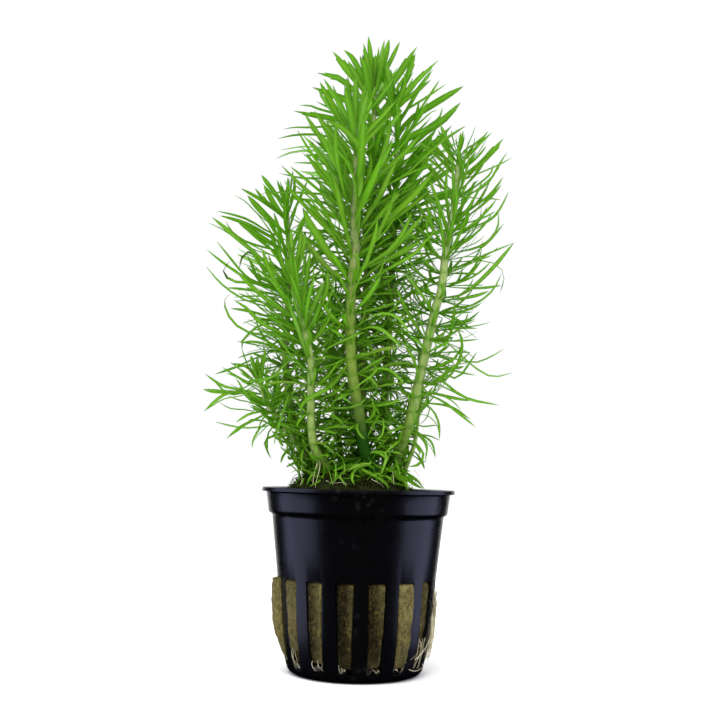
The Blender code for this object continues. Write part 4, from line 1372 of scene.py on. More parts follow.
# Leaves that can be told apart from the front, all in mm: blade, width, depth of the tip and height of the
# foot on the stem, then x and height of one point of the leaf after another
LAID_LEAVES = {
    "stem_main": (
        (0, 1.2, -17, 58.5, 0.3, 57.2, 2.7, 55.7, 5.7, 54.2, 7.5, 52.4),
        (0, 0.8, -17, 58.2, -1.2, 57.9, -5.8, 56.6, -6.9, 55.5, -4.9, 54, -3.3, 51.8),
        (0, 0.8, -18, 57.8, -2, 57.1, -4.9, 55.1, -6.4, 53.6, -8.2, 52.1),
        (0, 0.8, -16, 57.8, 2.7, 56.1, 4.6, 55.3, 5.7, 55, 8, 54.7, 9.4, 53.2),
        (0, 0.8, -18, 57.8, -0.8, 56.7, -1.9, 54.1, -1.1, 52.3),
        (0, 1.4, -13, 119, -1.8, 121.6, -1.6, 125.7, -1.6, 130.3, -1.9, 134.6, -2.4, 137.3),
        (0, 0.7, -12, 133.9, 9.9, 139.7, 18.3, 147.2, 23, 151.5, 28.2, 154.7),
        (0, 0.8, -10, 122.6, 15.7, 137.5, 18.2, 134.1, 20.6, 132.1, 22.8, 130.4),
        (0, 2.1, -15, 151.4, -3.3, 158.3, -3.4, 167.4),
        (0, 1.1, -13, 151.4, -4.5, 158.6, -4.9, 164.2, -5.8, 168.3),
        (0, 1.2, -15, 151.4, -1.9, 159.4, -1, 163.1, -0.3, 166.4),
        (0, 0.8, -16, 151.4, -1, 158.2, 1.3, 161.8, 3.2, 165.8),
        (0, 2.1, -13, 147.5, -9.5, 159.4, -11.9, 163.3, -13.6, 166.3),
        (0, 1.1, -10, 148.8, -7.5, 160.1, -8.9, 163.7, -10.1, 166.8),
        (0, 1.7, -13, 140.9, -8.1, 149.5, -12.2, 154.1, -14.9, 157.8),
        (0, 1.6, -11, 136.7, -11.6, 148.5, -14.6, 153, -18.1, 157.9),
        (0, 2.3, -17, 131, -1.1, 138.6, -0.9, 143.7, -1.7, 147.4, -4.4, 150.4, -7.8, 152.7, -11.8, 153.6),
        (0, 1.7, -13, 123.9, -4.2, 127.6, -6.6, 132.4, -9.6, 136.5, -13.8, 141.1, -17, 145.5),
        (0, 1.6, -15, 131, -4.4, 136, -7.1, 139.7, -8.9, 144.1, -11.6, 152.1),
        (0, 1.7, -17, 113.2, -3.7, 117.7, -5, 123.2, -6.5, 128.6, -8, 134.5, -10.1, 139.7),
        (0, 1.3, -12, 115.4, -8.2, 123.3, -10, 127, -12.7, 132.1, -16.9, 135.4, -20.4, 138.5, -24.1, 142.1),
        (0, 1.7, -14, 114.3, -9.3, 123.1, -12.3, 125.8, -16.7, 130.1, -20.2, 133.6, -23, 137.1),
        (0, 2.5, -18, 111.1, -8.5, 115, -11.4, 118.9, -13.2, 121.4, -15.5, 124.7, -17.2, 128.3),
        (0, 1.4, -20, 109, 0.2, 113, 1.8, 117.4, 3.2, 121.9, 3.6, 125.3),
        (0, 1.5, -16, 117.6, 1.8, 119.5, 4.8, 124.6, 7.2, 130, 8.4, 134.2),
        (0, 1.7, -15, 122.6, 0.7, 128.3, 4.3, 133.8, 6.5, 138.8, 9, 143.7),
        (0, 1.7, -12, 128.1, 2.4, 139.5, 4.6, 145.3, 6.2, 151.1, 6.8, 157.5),
        (0, 2.3, -14, 133.9, 0.3, 135.5, 5.1, 141.2, 8.5, 143.9, 12.2, 147.5, 15.2, 151.1),
        (0, 2.4, -13, 120, 4.6, 124.9, 8.3, 128.9, 11.9, 132.3, 15.9, 136.6, 19.5, 141.2),
        (0, 1.3, -12, 118.8, 6, 125.7, 9.7, 128.6, 13.7, 131.7, 17.6, 134.9),
        (0, 1.5, -18, 112.2, 6.1, 117.2, 9.1, 120.1, 11.8, 124.3, 13.1, 128.5),
        (0, 1.6, -16, 112.2, 7, 117.7, 9.8, 120.1, 13.1, 123.7, 16.9, 128),
        (0, 1.1, -17, 107.9, 13.2, 116.2, 16.5, 119.5, 20.3, 123.7),
        (0, 1.6, -14, 133.9, 0.8, 139.3, 1.5, 143, 1, 145.6),
        (0, 1.7, -16, 133.9, -2.2, 141.3, -1.2, 136.7, -1.8, 132),
        (0, 1.9, -15, 146.2, 0.3, 152.5, 4.3, 156.5, 8.2, 160.6),
        (0, 1.7, -14, 142.2, -0.8, 148.8, 3.2, 153.4, 7.1, 157.7),
        (0, 1.4, -11, 142.2, -5.4, 148.4, -9, 152, -11.7, 155.6),
        (0, 1.4, -12, 138.1, -4.1, 142.8, -7.7, 146.1),
        (0, 1.4, -12, 133.9, -5, 139.4, -8, 142.4),
        (0, 1.4, -10, 129.6, -5.6, 137.3, -8, 140.6),
        (0, 1.4, -18, 87.7, -6.2, 82, -9.5, 78.3, -13.8, 76, -16.1, 73.6, -16.3, 71),
        (0, 0.8, -14, 67.9, -5.9, 68.3, -9.7, 67.5),
        (0, 0.8, -15, 84.2, 1.7, 86.8, 4.6, 84.4, 0.6, 80.7, -2.4, 78.2),
        (0, 0.8, -16, 83.1, 3.4, 84.5, 7.9, 84.3, 12.4, 79.6),
        (0, 1, -18, 95.4, 3.7, 99.9, 9.3, 99, 13.2, 93.5),
        (0, 1.1, -16, 94.1, 2, 96.5, 6, 95.2, 11.1, 90),
        (0, 0.7, -14, 74.7, 1.9, 76.6, -1.5, 74, -7.6, 73.1),
        (0, 0.9, -16, 58.2, 5.1, 61.8, 7.6, 60.6, 5.9, 55),
        (0, 0.8, -14, 63.2, 5.4, 71.9, 6.6, 67.3, 4.4, 63.9),
        (0, 0.7, -15, 56.5, 5.8, 53.9, 9.7, 53.1, 14, 51.9),
    ),
    "stem_tall": (
        (0, 1.8, 8, 171.4, 0, 189.2),
        (1, 1.8, 6, 171.4, -1.5, 186.1),
        (0, 1.6, 4, 168.8, -2.5, 181.4),
        (0, 1, 10, 171.4, 3.3, 186.6),
        (0, 1.8, 8, 171.4, 4.9, 188),
        (0, 1.5, 6, 171.4, 7.1, 181.5, 9.6, 186.8),
        (2, 2.3, 5, 166.2, 10.2, 177.8, 14.8, 184.9),
        (0, 1.9, 6, 168.8, -4.2, 180.8, -7.4, 183.7),
        (1, 3.0, 3, 168.8, -6.3, 177.4, -10.7, 182),
        (2, 1.9, 4, 166.2, -7.4, 174, -11.2, 175.1, -15.3, 175.6),
        (1, 2.2, 4, 163.6, -6.1, 168.1, -10.4, 169.3, -16.7, 171.1),
        (2, 2.1, 4, 163.6, 10.1, 169.6, 15.5, 175, 21.4, 180.5),
        (0, 1.5, 2, 161, 10.4, 167.2, 14.9, 170.4, 19, 173.5),
        (0, 1.6, -2, 161, 7.6, 163.5, 10.2, 168.1, 11.3, 171.4, 10.7, 173.9),
        (0, 0.8, 8, 155.8, -8.1, 160.4, -16.9, 159.9, -21.6, 159.9, -25.6, 159.1),
        (0, 0.8, 8, 153.2, -11, 157.1, -16.2, 157.8, -22.1, 157.4, -27, 156.1),
        (0, 0.8, 10, 150.6, -9.4, 153, -16.2, 154.3, -19.9, 154.3, -26.8, 153.1),
        (0, 0.9, 6, 148, -10.9, 152.1, -18.1, 152.2, -22.8, 151.4, -27.3, 149.2),
        (1, 1.8, 4, 145.4, -7.8, 149.4, -15.3, 150.2, -18.7, 149.7),
        (0, 0.8, 4, 145.4, -10.6, 147.7, -17.9, 147.8, -21.9, 147.5),
        (0, 0.7, 6, 140.1, -10.7, 143.7, -18.5, 143.5, -22.6, 144.2, -26.2, 144.8),
        (0, 1.2, 3, 140.1, -9.6, 143.7, -11.7, 144.7, -16, 144.6),
        (0, 0.8, 6, 161, -11.5, 164.6, -14.1, 165.1, -17.3, 166.2, -20.6, 166),
        (1, 1.8, 4, 161, -6.6, 161.8, -11.5, 162.4, -17, 162.9, -22.2, 163.6),
        (0, 0.8, 5, 161, -6.6, 163.7, -15.4, 167),
        (0, 0.8, 0, 137.5, -9.7, 138.1, -17, 138.2, -24.7, 137.7, -30.6, 136.9),
        (0, 0.9, -2, 132.1, -9.6, 134.9, -14.1, 135.4, -19.7, 135.5, -26.2, 136),
    ),
    "stem_back_right": (
        (0, 0.9, -2, 152.3, 6.9, 154.6, 11.1, 156.4, 13.7, 158.8, 16.8, 160.8, 19.2, 162.6, 21, 162.6),
        (0, 1.2, 4, 150.6, 4.9, 154.6, 7.1, 157.4, 7.5, 159.6),
        (0, 1.3, 2, 155.6, 4.6, 155.6, 5.2, 158.3, 6.4, 161.5),
        (0, 1.2, 5, 160.5, 10.9, 165.8, 16.7, 169.2, 23.9, 173.4),
        (0, 2.2, 6, 157.2, 11.9, 162.7, 19.9, 168, 29.2, 173.2),
        (0, 2.7, 4, 152.3, 10.8, 152.4, 17.4, 159, 22.8, 162.2, 28.2, 167.3),
        (2, 2.2, 3, 145.8, 15.7, 149.1, 19.8, 153.8, 25.6, 159.8),
        (0, 0.9, 12, 152.3, 24.8, 158.9, 27.3, 160.6, 30.6, 162.7),
        (0, 0.9, 14, 155.6, 21.4, 164.6, 22.7, 166, 23.6, 169.4),
        (0, 1.2, 4, 155.6, 14, 160.6, 15.1, 163.8, 15.7, 167.7),
    ),
    "stem_right": (
        (0, 1.3, -16, 60.5, 9.7, 55.8, 13.1, 54.4, 15.2, 52.9, 17.3, 51.7),
        (0, 1, -15, 59.5, 10.1, 55.1, 12.6, 53.6, 13.6, 51.8),
        (0, 0.7, -5, 85.4, 21.4, 86, 23.9, 86.9, 26.1, 88.1, 28, 90.8, 28.8, 92.1, 28.4, 94.4, 27.3, 97.1),
        (0, 1.1, -9, 77.2, 17.6, 79.7, 20.3, 81.8, 22.4, 83.1, 25.5, 85.2, 26.5, 86.1, 28.9, 88.5, 30.6,
         90.1),
        (0, 1, -6, 79.5, 18.9, 78.8, 21.5, 78.6, 24.8, 77.7, 28.4, 77, 31, 76.5),
        (0, 0.5, -4, 81.9, 20.9, 81.6, 25.8, 79.6, 28.7, 77.8),
        (0, 0.6, -7, 79.5, 22.1, 78.4, 23.9, 77.7, 26.5, 76, 28.4, 73.8),
        (0, 0.6, -3, 87.6, 21.4, 87.9, 24, 86.5, 26.7, 85.4, 29.5, 84.7, 33.1, 84.1),
        (0, 1.2, -10, 99.7, 19.2, 103.2, 16.5, 107, 13.4, 110.4, 11.5, 112.4),
        (0, 1, -9, 91.3, 17.9, 94.3, 16.7, 96.2, 14.5, 99, 12.5, 102.1, 9.3, 108.2),
        (0, 1, -8, 78.4, 16.5, 82.1, 15.8, 85.7, 14.6, 88.5, 12.7, 91.5, 11.9, 92.7),
        (0, 0.7, -10, 146.8, 29.1, 148.2, 31.4, 150.9, 33.8, 152.6, 35, 154.1),
        (0, 0.5, -3, 145.7, 31, 150.7, 31.5, 152.1, 32, 154.6),
        (0, 1.1, -9, 141.4, 29.7, 141.7, 31.4, 143.6, 33.3, 145.1, 36, 147.7, 38.4, 149.6),
        (0, 1.2, -11, 144.6, 29, 144.8, 30, 145.8, 31.4, 147.5),
        (0, 0.6, -6, 146.8, 28.3, 149.2, 29.9, 150.5, 31.7, 151.5),
        (0, 0.7, -3, 136.1, 29.9, 138.1, 31.1, 139.2, 32.1, 140.6, 33.1, 141.5),
        (0, 0.9, -2, 129.9, 31.2, 133, 33.7, 136, 35.2, 138.7, 36.4, 141),
        (0, 1.1, -9, 127.9, 27.6, 131.6, 28.4, 133.7, 29.7, 135.6),
        (0, 0.6, -6, 127.9, 28.7, 129.2, 30.1, 131.8, 30.8, 134.8),
        (0, 0.7, -8, 144.6, 25.2, 145.7, 22.4, 147.5, 20.6, 148.8, 18.4, 151.7),
        (0, 1, -9, 142.5, 24.9, 143.1, 22.9, 145.2, 21, 146.9, 18.9, 148.2, 15.5, 148.9),
        (0, 0.9, -6, 141.4, 25.3, 142.8, 24.2, 144.9, 22.5, 146.5, 19.9, 148.2, 15.6, 151.3),
        (0, 1.1, -8, 140.3, 25.3, 141.3, 22.5, 143.2, 20.6, 144.6, 18.1, 146.3, 15.6, 147),
        (0, 1, -7, 136.1, 22.6, 138.6, 21, 140.5, 19.1, 143, 16.7, 145.1, 15.7, 146),
        (0, 0.8, -9, 147.9, 25.1, 148.8, 23.1, 151.4, 22, 152.8, 20.5, 154.3),
        (0, 0.7, -10, 135, 25.3, 136.1, 22.7, 137.5, 19.5, 138.2),
        (0, 0.5, -4, 72.9, 16.2, 72.5, 18.8, 72.5, 20.4, 71.5, 22.1, 69.4, 22.7, 66.1),
        (0, 0.5, -3, 76.1, 19.8, 75.2, 19.9, 74.7, 19.3, 72.2, 17.8, 70.3, 15.9, 69.4),
        (0, 0.5, -2, 71, 16.9, 69.5, 18.6, 69.2, 20.5, 69.5, 22.3, 69.6),
        (0, 0.5, -3, 70.1, 15.9, 68.4, 17.3, 66.9, 19.7, 66.6, 21.3, 66, 23, 65.2),
        (0, 0.7, -5, 68.4, 15.6, 67.5, 17.2, 66.2, 18.5, 64.7, 19, 63, 19, 61.6),
        (0, 0.3, -4, 66.9, 15.6, 67.8, 17.6, 66.6, 19.4, 64.6, 20.8, 62.4, 21.7, 60.1),
        (0, 0.9, -6, 65.4, 14.7, 65.4, 16.5, 64.1, 17.6, 62.3, 18.4, 60.7, 17.6, 59, 16.3, 58, 15, 57.7, 12.3,
         57.9),
        (0, 0.8, -6, 64.7, 15, 64.9, 16.9, 62.3, 17.2, 61.4, 16.3, 60.4),
        (0, 0.5, -5, 62.8, 13.3, 62.6, 14.7, 61.3, 16.3, 60.2, 17.9, 59, 19.2, 59.5),
        (0, 0.4, -6, 61.6, 13.4, 61.6, 14, 59.4, 13, 58.1),
        (0, 0.4, -6, 55.5, 13.2, 54.9, 14.4, 54.8, 16.4, 53.8, 17.6, 52.6, 18.6, 51.3),
        (0, 0.6, -6, 56.7, 11.3, 57, 12.9, 56.5, 14.6, 56.4),
        (0, 0.7, -6, 55.5, 10.1, 55.2, 13.1, 54.9, 14.3, 54.3),
        (0, 1.2, -8, 145.7, 32.3, 150.7, 36.2, 154.2),
        (2, 1.8, -6, 141.4, 32.5, 145.1, 36.3, 149, 39.9, 153.2),
        (0, 0.7, -2, 136.1, 31.3, 137.6, 35.8, 140.5, 39.4, 146.9, 41.6, 150.4),
        (0, 0.6, -4, 140.3, 32.9, 143.2, 38.6, 145.8, 42.9, 148.3),
        (0, 0.7, 0, 135, 32.6, 140.1, 36.9, 144.2, 37.7, 147.4),
        (0, 0.9, -5, 129.9, 33.6, 134.6, 37.1, 137.7, 40.1, 142.1),
        (0, 0.6, 2, 129.9, 31.5, 133.9, 36.2, 136.9, 40.5, 137),
        (0, 0.8, -4, 124.9, 34.3, 128.4, 38.7, 131.8, 41.9, 138.2),
        (0, 0.7, 2, 119.3, 31.7, 121.4, 36.3, 123.9, 38.8, 126.6, 41.3, 129.9),
        (0, 0.7, -8, 119.3, 32.7, 120.8, 36.1, 123.1, 38.3, 126.5, 38.4, 130.8),
        (0, 1.6, -9, 124.9, 29.2, 128.4, 29.8, 130.9),
        (0, 1.1, -9, 119.3, 28.1, 121.6, 30.2, 123.5),
        (0, 1.3, -6, 106.3, 28.4, 107.2, 32.4, 110.2, 37.6, 115.5, 43.2, 122.5),
        (0, 0.6, 0, 114.2, 29, 116.5, 35.6, 119.8, 43.8, 123.6),
        (0, 0.7, -4, 101.3, 31.4, 104.3, 37.2, 108.5, 40, 113.9),
        (0, 0.7, -2, 97.8, 29.8, 99.7, 33.9, 102.8),
        (0, 0.7, 2, 96.6, 28.9, 98.2, 33.8, 98.4),
        (0, 0.5, 2, 91, 31.3, 88.2, 36.2, 89.3, 41.9, 92.7),
        (0, 0.7, -4, 94.3, 23.9, 94, 30.4, 88.1, 37.1, 83.8, 43.5, 85.1),
        (0, 0.9, -6, 85.4, 23.5, 82.1, 29.8, 77.5, 39.2, 75.5),
        (0, 1, -8, 79.5, 22.9, 76.7, 26.8, 73.8, 32.4, 69.1),
        (0, 0.8, -2, 76.1, 25.4, 75.2, 31.6, 71.5),
        (0, 0.7, -8, 68.4, 15.5, 67.3, 18.9, 64.4, 18.5, 59.2),
        (0, 0.7, -4, 76.1, 20.1, 74.5, 22.4, 70.4, 22.7, 65.4),
        (0, 0.7, -6, 68.4, 15.6, 67.4, 20.1, 65.1, 21.5, 60.5),
        (0, 1, -8, 94.3, 24.4, 93.8, 25.9, 99.4, 26.2, 105),
        (0, 1.2, -12, 144.6, 26.7, 147.2, 27, 150, 26.8, 152.7),
        (0, 1.1, -9, 145.7, 25, 148.1, 22.7, 150.8, 20.8, 154.1),
        (0, 1.3, -12, 134, 24.5, 135.5, 21.6, 139.4),
        (0, 1.4, -12, 136.1, 28.3, 140, 27, 145.1, 26.1, 149.1),
        (0, 0.8, -8, 140.3, 23.5, 146.2, 20.2, 148.6, 14.7, 151.3),
        (0, 0.8, -8, 136.1, 22.1, 140.8, 18.4, 144.5, 13.6, 147.3),
        (0, 0.7, -7, 142.5, 24.5, 145.8, 20.7, 149.9, 18.6, 152),
        (0, 0.8, -10, 120.5, 22.3, 126.4, 19.1, 129.4, 17.2, 132.1),
        (0, 0.8, -10, 130.9, 23.8, 131.6, 19.7, 133.5, 16, 136.3),
        (0, 0.7, -5, 110.3, 29.5, 111.9, 34.6, 118.1),
        (0, 0.7, 0, 111.6, 27.2, 115.5, 35.6, 118, 41.1, 114.6, 40, 108.6),
        (0, 0.9, -8, 89.9, 26.2, 85.5, 28.6, 92.4, 26.9, 97.4),
        (0, 0.7, -2, 87.6, 22.9, 85.1, 27.6, 83.2, 31.1, 87.7, 33.4, 91.3),
        (0, 0.8, -4, 101.3, 25, 103.4, 30.8, 104.1, 34.8, 105.9),
        (0, 0.8, 2, 97.8, 25.2, 99.6, 30.7, 100.5, 34.4, 103.5),
        (0, 0.8, -9, 57.8, 11.7, 56.8, 16.1, 54.1, 18, 51.6),
    ),
    "stem_left_front": (
        (0, 0.8, -16, 59.6, -11.9, 56.1, -13.3, 54.2, -14.2, 51.9),
        (0, 0.7, -17, 58.8, -9.6, 56.2, -9.9, 54.3, -11.3, 52.7, -13.4, 51.7),
        (0, 0.9, -14, 85.9, -16.3, 84.9, -21.1, 83.1, -25.4, 81.2, -28.9, 80.5, -32.9, 79.6),
        (0, 0.7, -15, 91.5, -17.9, 88.9, -22, 83.9, -24.2, 81.6, -26.9, 80.3, -31, 78.4),
        (0, 0.7, -8, 82.5, -17.1, 81.6, -20, 79.8, -21.9, 77.3, -23.9, 76.2, -25.5, 75.8),
        (0, 0.9, -15, 80.2, -18.5, 77.9, -20.1, 76.4, -20.7, 74, -21.6, 71.3, -22.2, 68.1, -22.9, 66, -23.4,
         62.5),
        (0, 0.4, -13, 64.2, -24.1, 69, -25.9, 67.5, -28.2, 65.2, -29, 63.6),
        (0, 0.5, -10, 67.4, -24.1, 71.6, -26.6, 71, -27.9, 68.3, -29, 64.9),
        (0, 0.5, -14, 65.4, -22.6, 68.7, -23, 67.4, -23.4, 63.7),
        (0, 1.6, -18, 93.8, -20.5, 100.8, -23.1, 105.5, -26, 110.9, -28.3, 116.8),
        (0, 1.6, -20, 84.8, -17.1, 93.2, -20.4, 102),
        (0, 1, -14, 103.4, -22.8, 108.1, -25.2, 112, -26.7, 115.9),
        (0, 1.4, -16, 105.2, -21.3, 109.4, -22.8, 113.5, -23.9, 117.9),
        (0, 1, -17, 105.2, -20.4, 110.6, -20.9, 114.6),
        (0, 0.8, -18, 103.4, -17, 108.5, -16.5, 113.4, -16.9, 117.6),
        (0, 1.5, -16, 101.5, -16.2, 106.7, -15.4, 112.2, -14.9, 116.4),
        (0, 0.7, -18, 99.5, -15.2, 104.3, -13.8, 107.8, -13.9, 112.5),
        (0, 1.7, -17, 95, -14, 100.4, -12.1, 104.7, -10.4, 108.2),
        (0, 1, -19, 97.3, -13.7, 98.7, -11.1, 102, -9.9, 106.2, -9.8, 110.7),
        (0, 1, -18, 90.4, -11, 94.7, -9, 98.1, -8.5, 101.3),
        (0, 1.5, -15, 90.4, -28.1, 96.4, -31.5, 99.9, -35.9, 102.6),
        (0, 1.3, -16, 97.3, -21.1, 99, -25.4, 101.9, -29.4, 105.1, -32.8, 108.1, -36, 111.3),
        (0, 0.8, -14, 83.7, -17.9, 93, -23.6, 97.3, -28.2, 101.7),
        (0, 0.7, -18, 78, -9.5, 81.5, -6.2, 85.7),
    ),
    "stem_left_back": (
        (0, 0.6, -4, 65.1, -29.6, 70.4, -34.1, 67.4, -37.9, 64.4),
        (0, 0.6, 0, 94.6, -28.9, 89.5, -32.4, 88, -36.6, 85.4, -39.4, 84.1, -42.4, 83),
        (0, 1.2, 8, 131.8, -28.4, 135.4, -32.7, 138.1, -37.6, 140.4),
        (0, 2.1, 10, 127.1, -28.3, 131.3, -31.5, 134.3, -35.8, 138.8),
        (0, 0.5, 4, 127.1, -28.8, 130.2, -32.4, 132.6, -35.7, 135.7, -39.2, 137.3),
        (0, 1.2, 8, 133, -30.3, 137.2, -33.3, 140.5),
        (0, 1.9, 6, 131.8, -27.1, 135.7, -28.9, 138.4, -30.5, 141.1),
        (0, 1, 10, 133, -25.8, 140.8, -26.9, 143.8),
        (0, 1.1, 12, 133, -21.7, 141.3, -22, 145.7),
        (0, 0.9, 8, 133, -24.3, 138.8),
        (0, 0.9, 8, 133, -23.2, 138.5),
        (0, 0.8, 8, 125.3, -30, 128.3, -35, 131.1, -39.6, 132.4, -44.8, 133.3),
        (0, 1.4, 8, 123.4, -32.5, 128.4, -38, 130.6, -43.8, 131.9),
        (0, 1.8, 6, 121.4, -30.4, 125.3, -34.7, 127.7, -38.1, 129.7),
        (0, 1.6, 6, 115.4, -29.3, 118, -34, 121.8, -37.7, 124.6, -41.7, 127.8, -45.8, 130.9),
        (0, 0.5, 10, 119.4, -34.2, 122.5, -39.6, 126.1, -43.7, 128.5, -47.7, 130.2),
        (0, 0.8, 3, 121.4, -32.1, 122.9, -36.2, 124, -39.5, 126.3, -41.2, 129.1),
        (0, 0.8, 5, 108, -27.5, 110.5, -33.6, 112.3, -36.7, 114.9, -39.7, 118.4, -44, 123.4),
        (0, 0.9, 8, 108, -26.3, 109.7, -32.5, 111.6, -37.8, 114.6, -43, 118.1, -47.3, 121.4),
        (0, 0.7, 8, 103.3, -28, 104.6, -33.5, 105.7, -37.8, 107.7, -42.8, 111.3, -47.4, 116.4),
        (0, 1.2, 4, 109.7, -30.8, 111.6, -32.3, 114.5, -34.7, 119.5),
        (0, 1.2, 2, 111.5, -29.2, 112.1, -32, 113.5, -34.3, 115.3),
        (0, 0.9, 4, 127.1, -22.6, 129.3, -21, 133.4, -20, 136),
        (0, 0.6, 4, 90.3, -29.7, 87.3, -37.3, 85.7, -42.7, 83.5),
        (0, 0.7, 0, 119.4, -19.1, 121.6, -17.2, 123.5, -14.9, 125.2),
    ),
    "stem_far_left": (
        (0, 0.6, -6, 68.8, -24.3, 68.2, -25.7, 66.8, -26.1, 64.5, -25.8, 61.4),
        (0, 0.5, -6, 79.7, -31.4, 83.5, -32.4, 85.4, -33.9, 89.6),
        (0, 0.7, -8, 79.7, -29.9, 81.8, -30.5, 83.9, -31.1, 87.9),
        (0, 0.6, -3, 79.7, -29.6, 81.9, -30, 84.2, -30.1, 86.6),
        (0, 1, -9, 79, -28.3, 81.8, -28, 84.5, -27.3, 87.8, -27.5, 90.5),
        (0, 0.6, -2, 77.9, -28.1, 80.2, -27.1, 83.2, -26.9, 86.2),
        (0, 0.8, -10, 74.6, -30.4, 74.6, -33.1, 78.2, -34.1, 79.9, -35.1, 81.2),
        (0, 0.6, -7, 81.5, -35.5, 77.6, -38, 77.8, -39.6, 78.3, -41, 80.3, -44.2, 82.5),
        (0, 0.6, -5, 80.5, -34.8, 76.9, -37.7, 77.4, -41.1, 77.3, -43.3, 77.6, -44.9, 78.3),
        (0, 0.5, -6, 80, -34.1, 76.5, -37.4, 76.1, -40.1, 74.9, -42.1, 73.4, -44.2, 71.9),
        (0, 0.4, -4, 75.7, -29.7, 72.5, -32.9, 72.8, -36.6, 72.9, -38.4, 73.6, -40.4, 74.8),
        (0, 0.5, -3, 82.5, -32.1, 79.9, -34.7, 81.7, -37.4, 82.8, -39, 83.2),
        (0, 0.5, -8, 83.5, -31.6, 81.7, -34.1, 83.8, -35.5, 84.8, -36.9, 85.8),
        (0, 0.4, -2, 76.2, -29.9, 74.4, -32, 75.1, -35, 75.6, -37.8, 76.7, -38.2, 76.3),
        (0, 0.9, -5, 77.2, -34.2, 78.4, -39.4, 79.4, -44.4, 82.6),
        (0, 1.1, -3, 77.2, -31.9, 77.6, -38.9, 77.8, -45.1, 78.4),
        (0, 1, -6, 76.2, -36.4, 77.7, -40.9, 75.2, -44.2, 71.8),
        (0, 0.9, -8, 73, -28.6, 70.6, -33.6, 67.8, -37.3, 64.3),
        (0, 0.7, -2, 69.5, -27.6, 68.1, -34, 67.7, -41.6, 69.2),
        (0, 1, -7, 73.6, -28.1, 72.4, -31.5, 71.4, -35, 68.9),
        (0, 0.7, -6, 70.3, -28, 68, -30.1, 63.9, -30.1, 61.9),
        (0, 0.9, -5, 66.5, -26.5, 64.6, -26, 61.2, -24.8, 58.9),
        (0, 0.8, -6, 63, -19.7, 61.9, -21.4, 60.1, -22.1, 57.8),
        (0, 0.8, -8, 59.4, -17.3, 58.5, -20.5, 56.7),
        (0, 0.9, -6, 81.5, -31.4, 88.2),
        (0, 0.9, -6, 80.5, -32.5, 84.8, -37.1, 85.7),
        (0, 0.8, -7, 80, -29, 84.8, -26.6, 87),
        (0, 0.8, -8, 78.1, -26.6, 80.8, -22.6, 84.8, -20.3, 89.4),
        (0, 0.7, -6, 79, -34.8, 81.8, -39.4, 84.5),
    ),
    "stem_low_right": (
        (0, 0.8, 0, 62.2, 16.6, 61.7, 18.3, 58.7, 18.8, 57),
    ),
}

# Long thin bent leaves, some with a black end: the stem, the points in mm, half the width in mm, the black
# share of the length, and how yellow it is
BENT_LEAVES = (
    (5, ((-23, 9, 111.5), (-29.9, 5, 110.5), (-34.7, 4, 111.0), (-38.5, 4, 110.9), (-40.8, 4, 112.4),
         (-41.9, 4, 114.1), (-41.1, 4, 115.5), (-39.4, 4, 117.4)), 0.42, 0.30, 0.0),
    (5, ((-23.5, 10, 110), (-26.3, 8, 109.5), (-30.4, 8, 116.1), (-33.6, 8, 121.5), (-35.0, 8, 121.1),
         (-37.3, 8, 118.3), (-36.9, 8, 117.5), (-37.2, 8, 115.6)), 0.42, 0.36, 0.0),
    (5, ((-22.6, 8, 92.0), (-26.1, 2, 94.0), (-28.9, 0, 95.0), (-33.0, 0, 95.3), (-36.0, 0, 96.7),
         (-39.3, 0, 100.4),
         (-40.5, 0, 104.1), (-40.7, 0, 104.9), (-38.6, 0, 106.8)), 0.36, 0.14, 0.0),
    (5, ((-22.8, 8, 98.6), (-27.6, 3, 98.9), (-31.1, 2, 97.5), (-35.4, 2, 92.9), (-34.2, 2, 87.6)),
         0.36, 0.05, 0.0),
    (0, ((2.2, -7.2, 60.6), (3.5, -12, 58.0), (0.8, -14, 57.9), (-1.9, -14, 57.0), (-3.0, -14.5, 55.8)),
         0.5, 0.0, 0.3),
    (0, ((2.6, -7.2, 59.6), (5.0, -13, 57.4), (8.1, -15, 56.7), (10.8, -16, 55.6), (12.2, -17, 53.6)),
         0.48, 0.0, 0.35),
    (7, ((10.2, -12.0, 55.5), (11.2, -14.5, 54.6), (12.7, -17.0, 53.3), (13.4, -19.5, 51.2)),
         0.42, 0.0, 0.25),
    (7, ((12.2, -9.0, 56.7), (14.0, -11.8, 54.8), (16.0, -14.7, 53.6), (17.6, -17.5, 51.4)), 0.36, 0.0, 0.00),
    (7, ((12.8, -10.0, 55.6), (13.7, -13.0, 53.9), (14.3, -16.0, 52.8), (14.7, -19.0, 51.3)),
         0.30, 0.0, 0.00),
    (0, ((5.2, -12.0, 55.9), (6.3, -14.7, 54.4), (7.3, -17.3, 53.1), (8.0, -20.0, 51.4)), 0.36, 0.0, 0.35),
    (4, ((-10.3, -9.0, 58.4), (-8.8, -12.3, 57.3), (-7.9, -15.7, 55.1), (-6.9, -19.0, 51.9)),
         0.38, 0.0, 0.10),
    (4, ((-7.1, -9.0, 61.2), (-5.1, -11.0, 60.1), (-3.9, -13.0, 57.4), (-4.1, -15.0, 54.9)), 0.42, 0.0, 0.00),
    (4, ((-8.9, -10.0, 57.8), (-7.2, -12.7, 59.0), (-6.3, -15.3, 57.3), (-6.4, -18.0, 53.0)),
         0.40, 0.0, 0.00),
)


def distances_along(points):
    """How far each point lies along the line through them all."""
    return np.concatenate(([0], np.cumsum(np.linalg.norm(np.diff(points, axis=0), axis=1))))


def read_off(places, known, columns):
    """The row of values, or rows, at one or more places."""
    return np.stack([np.interp(places, known, column) for column in columns.T], -1)


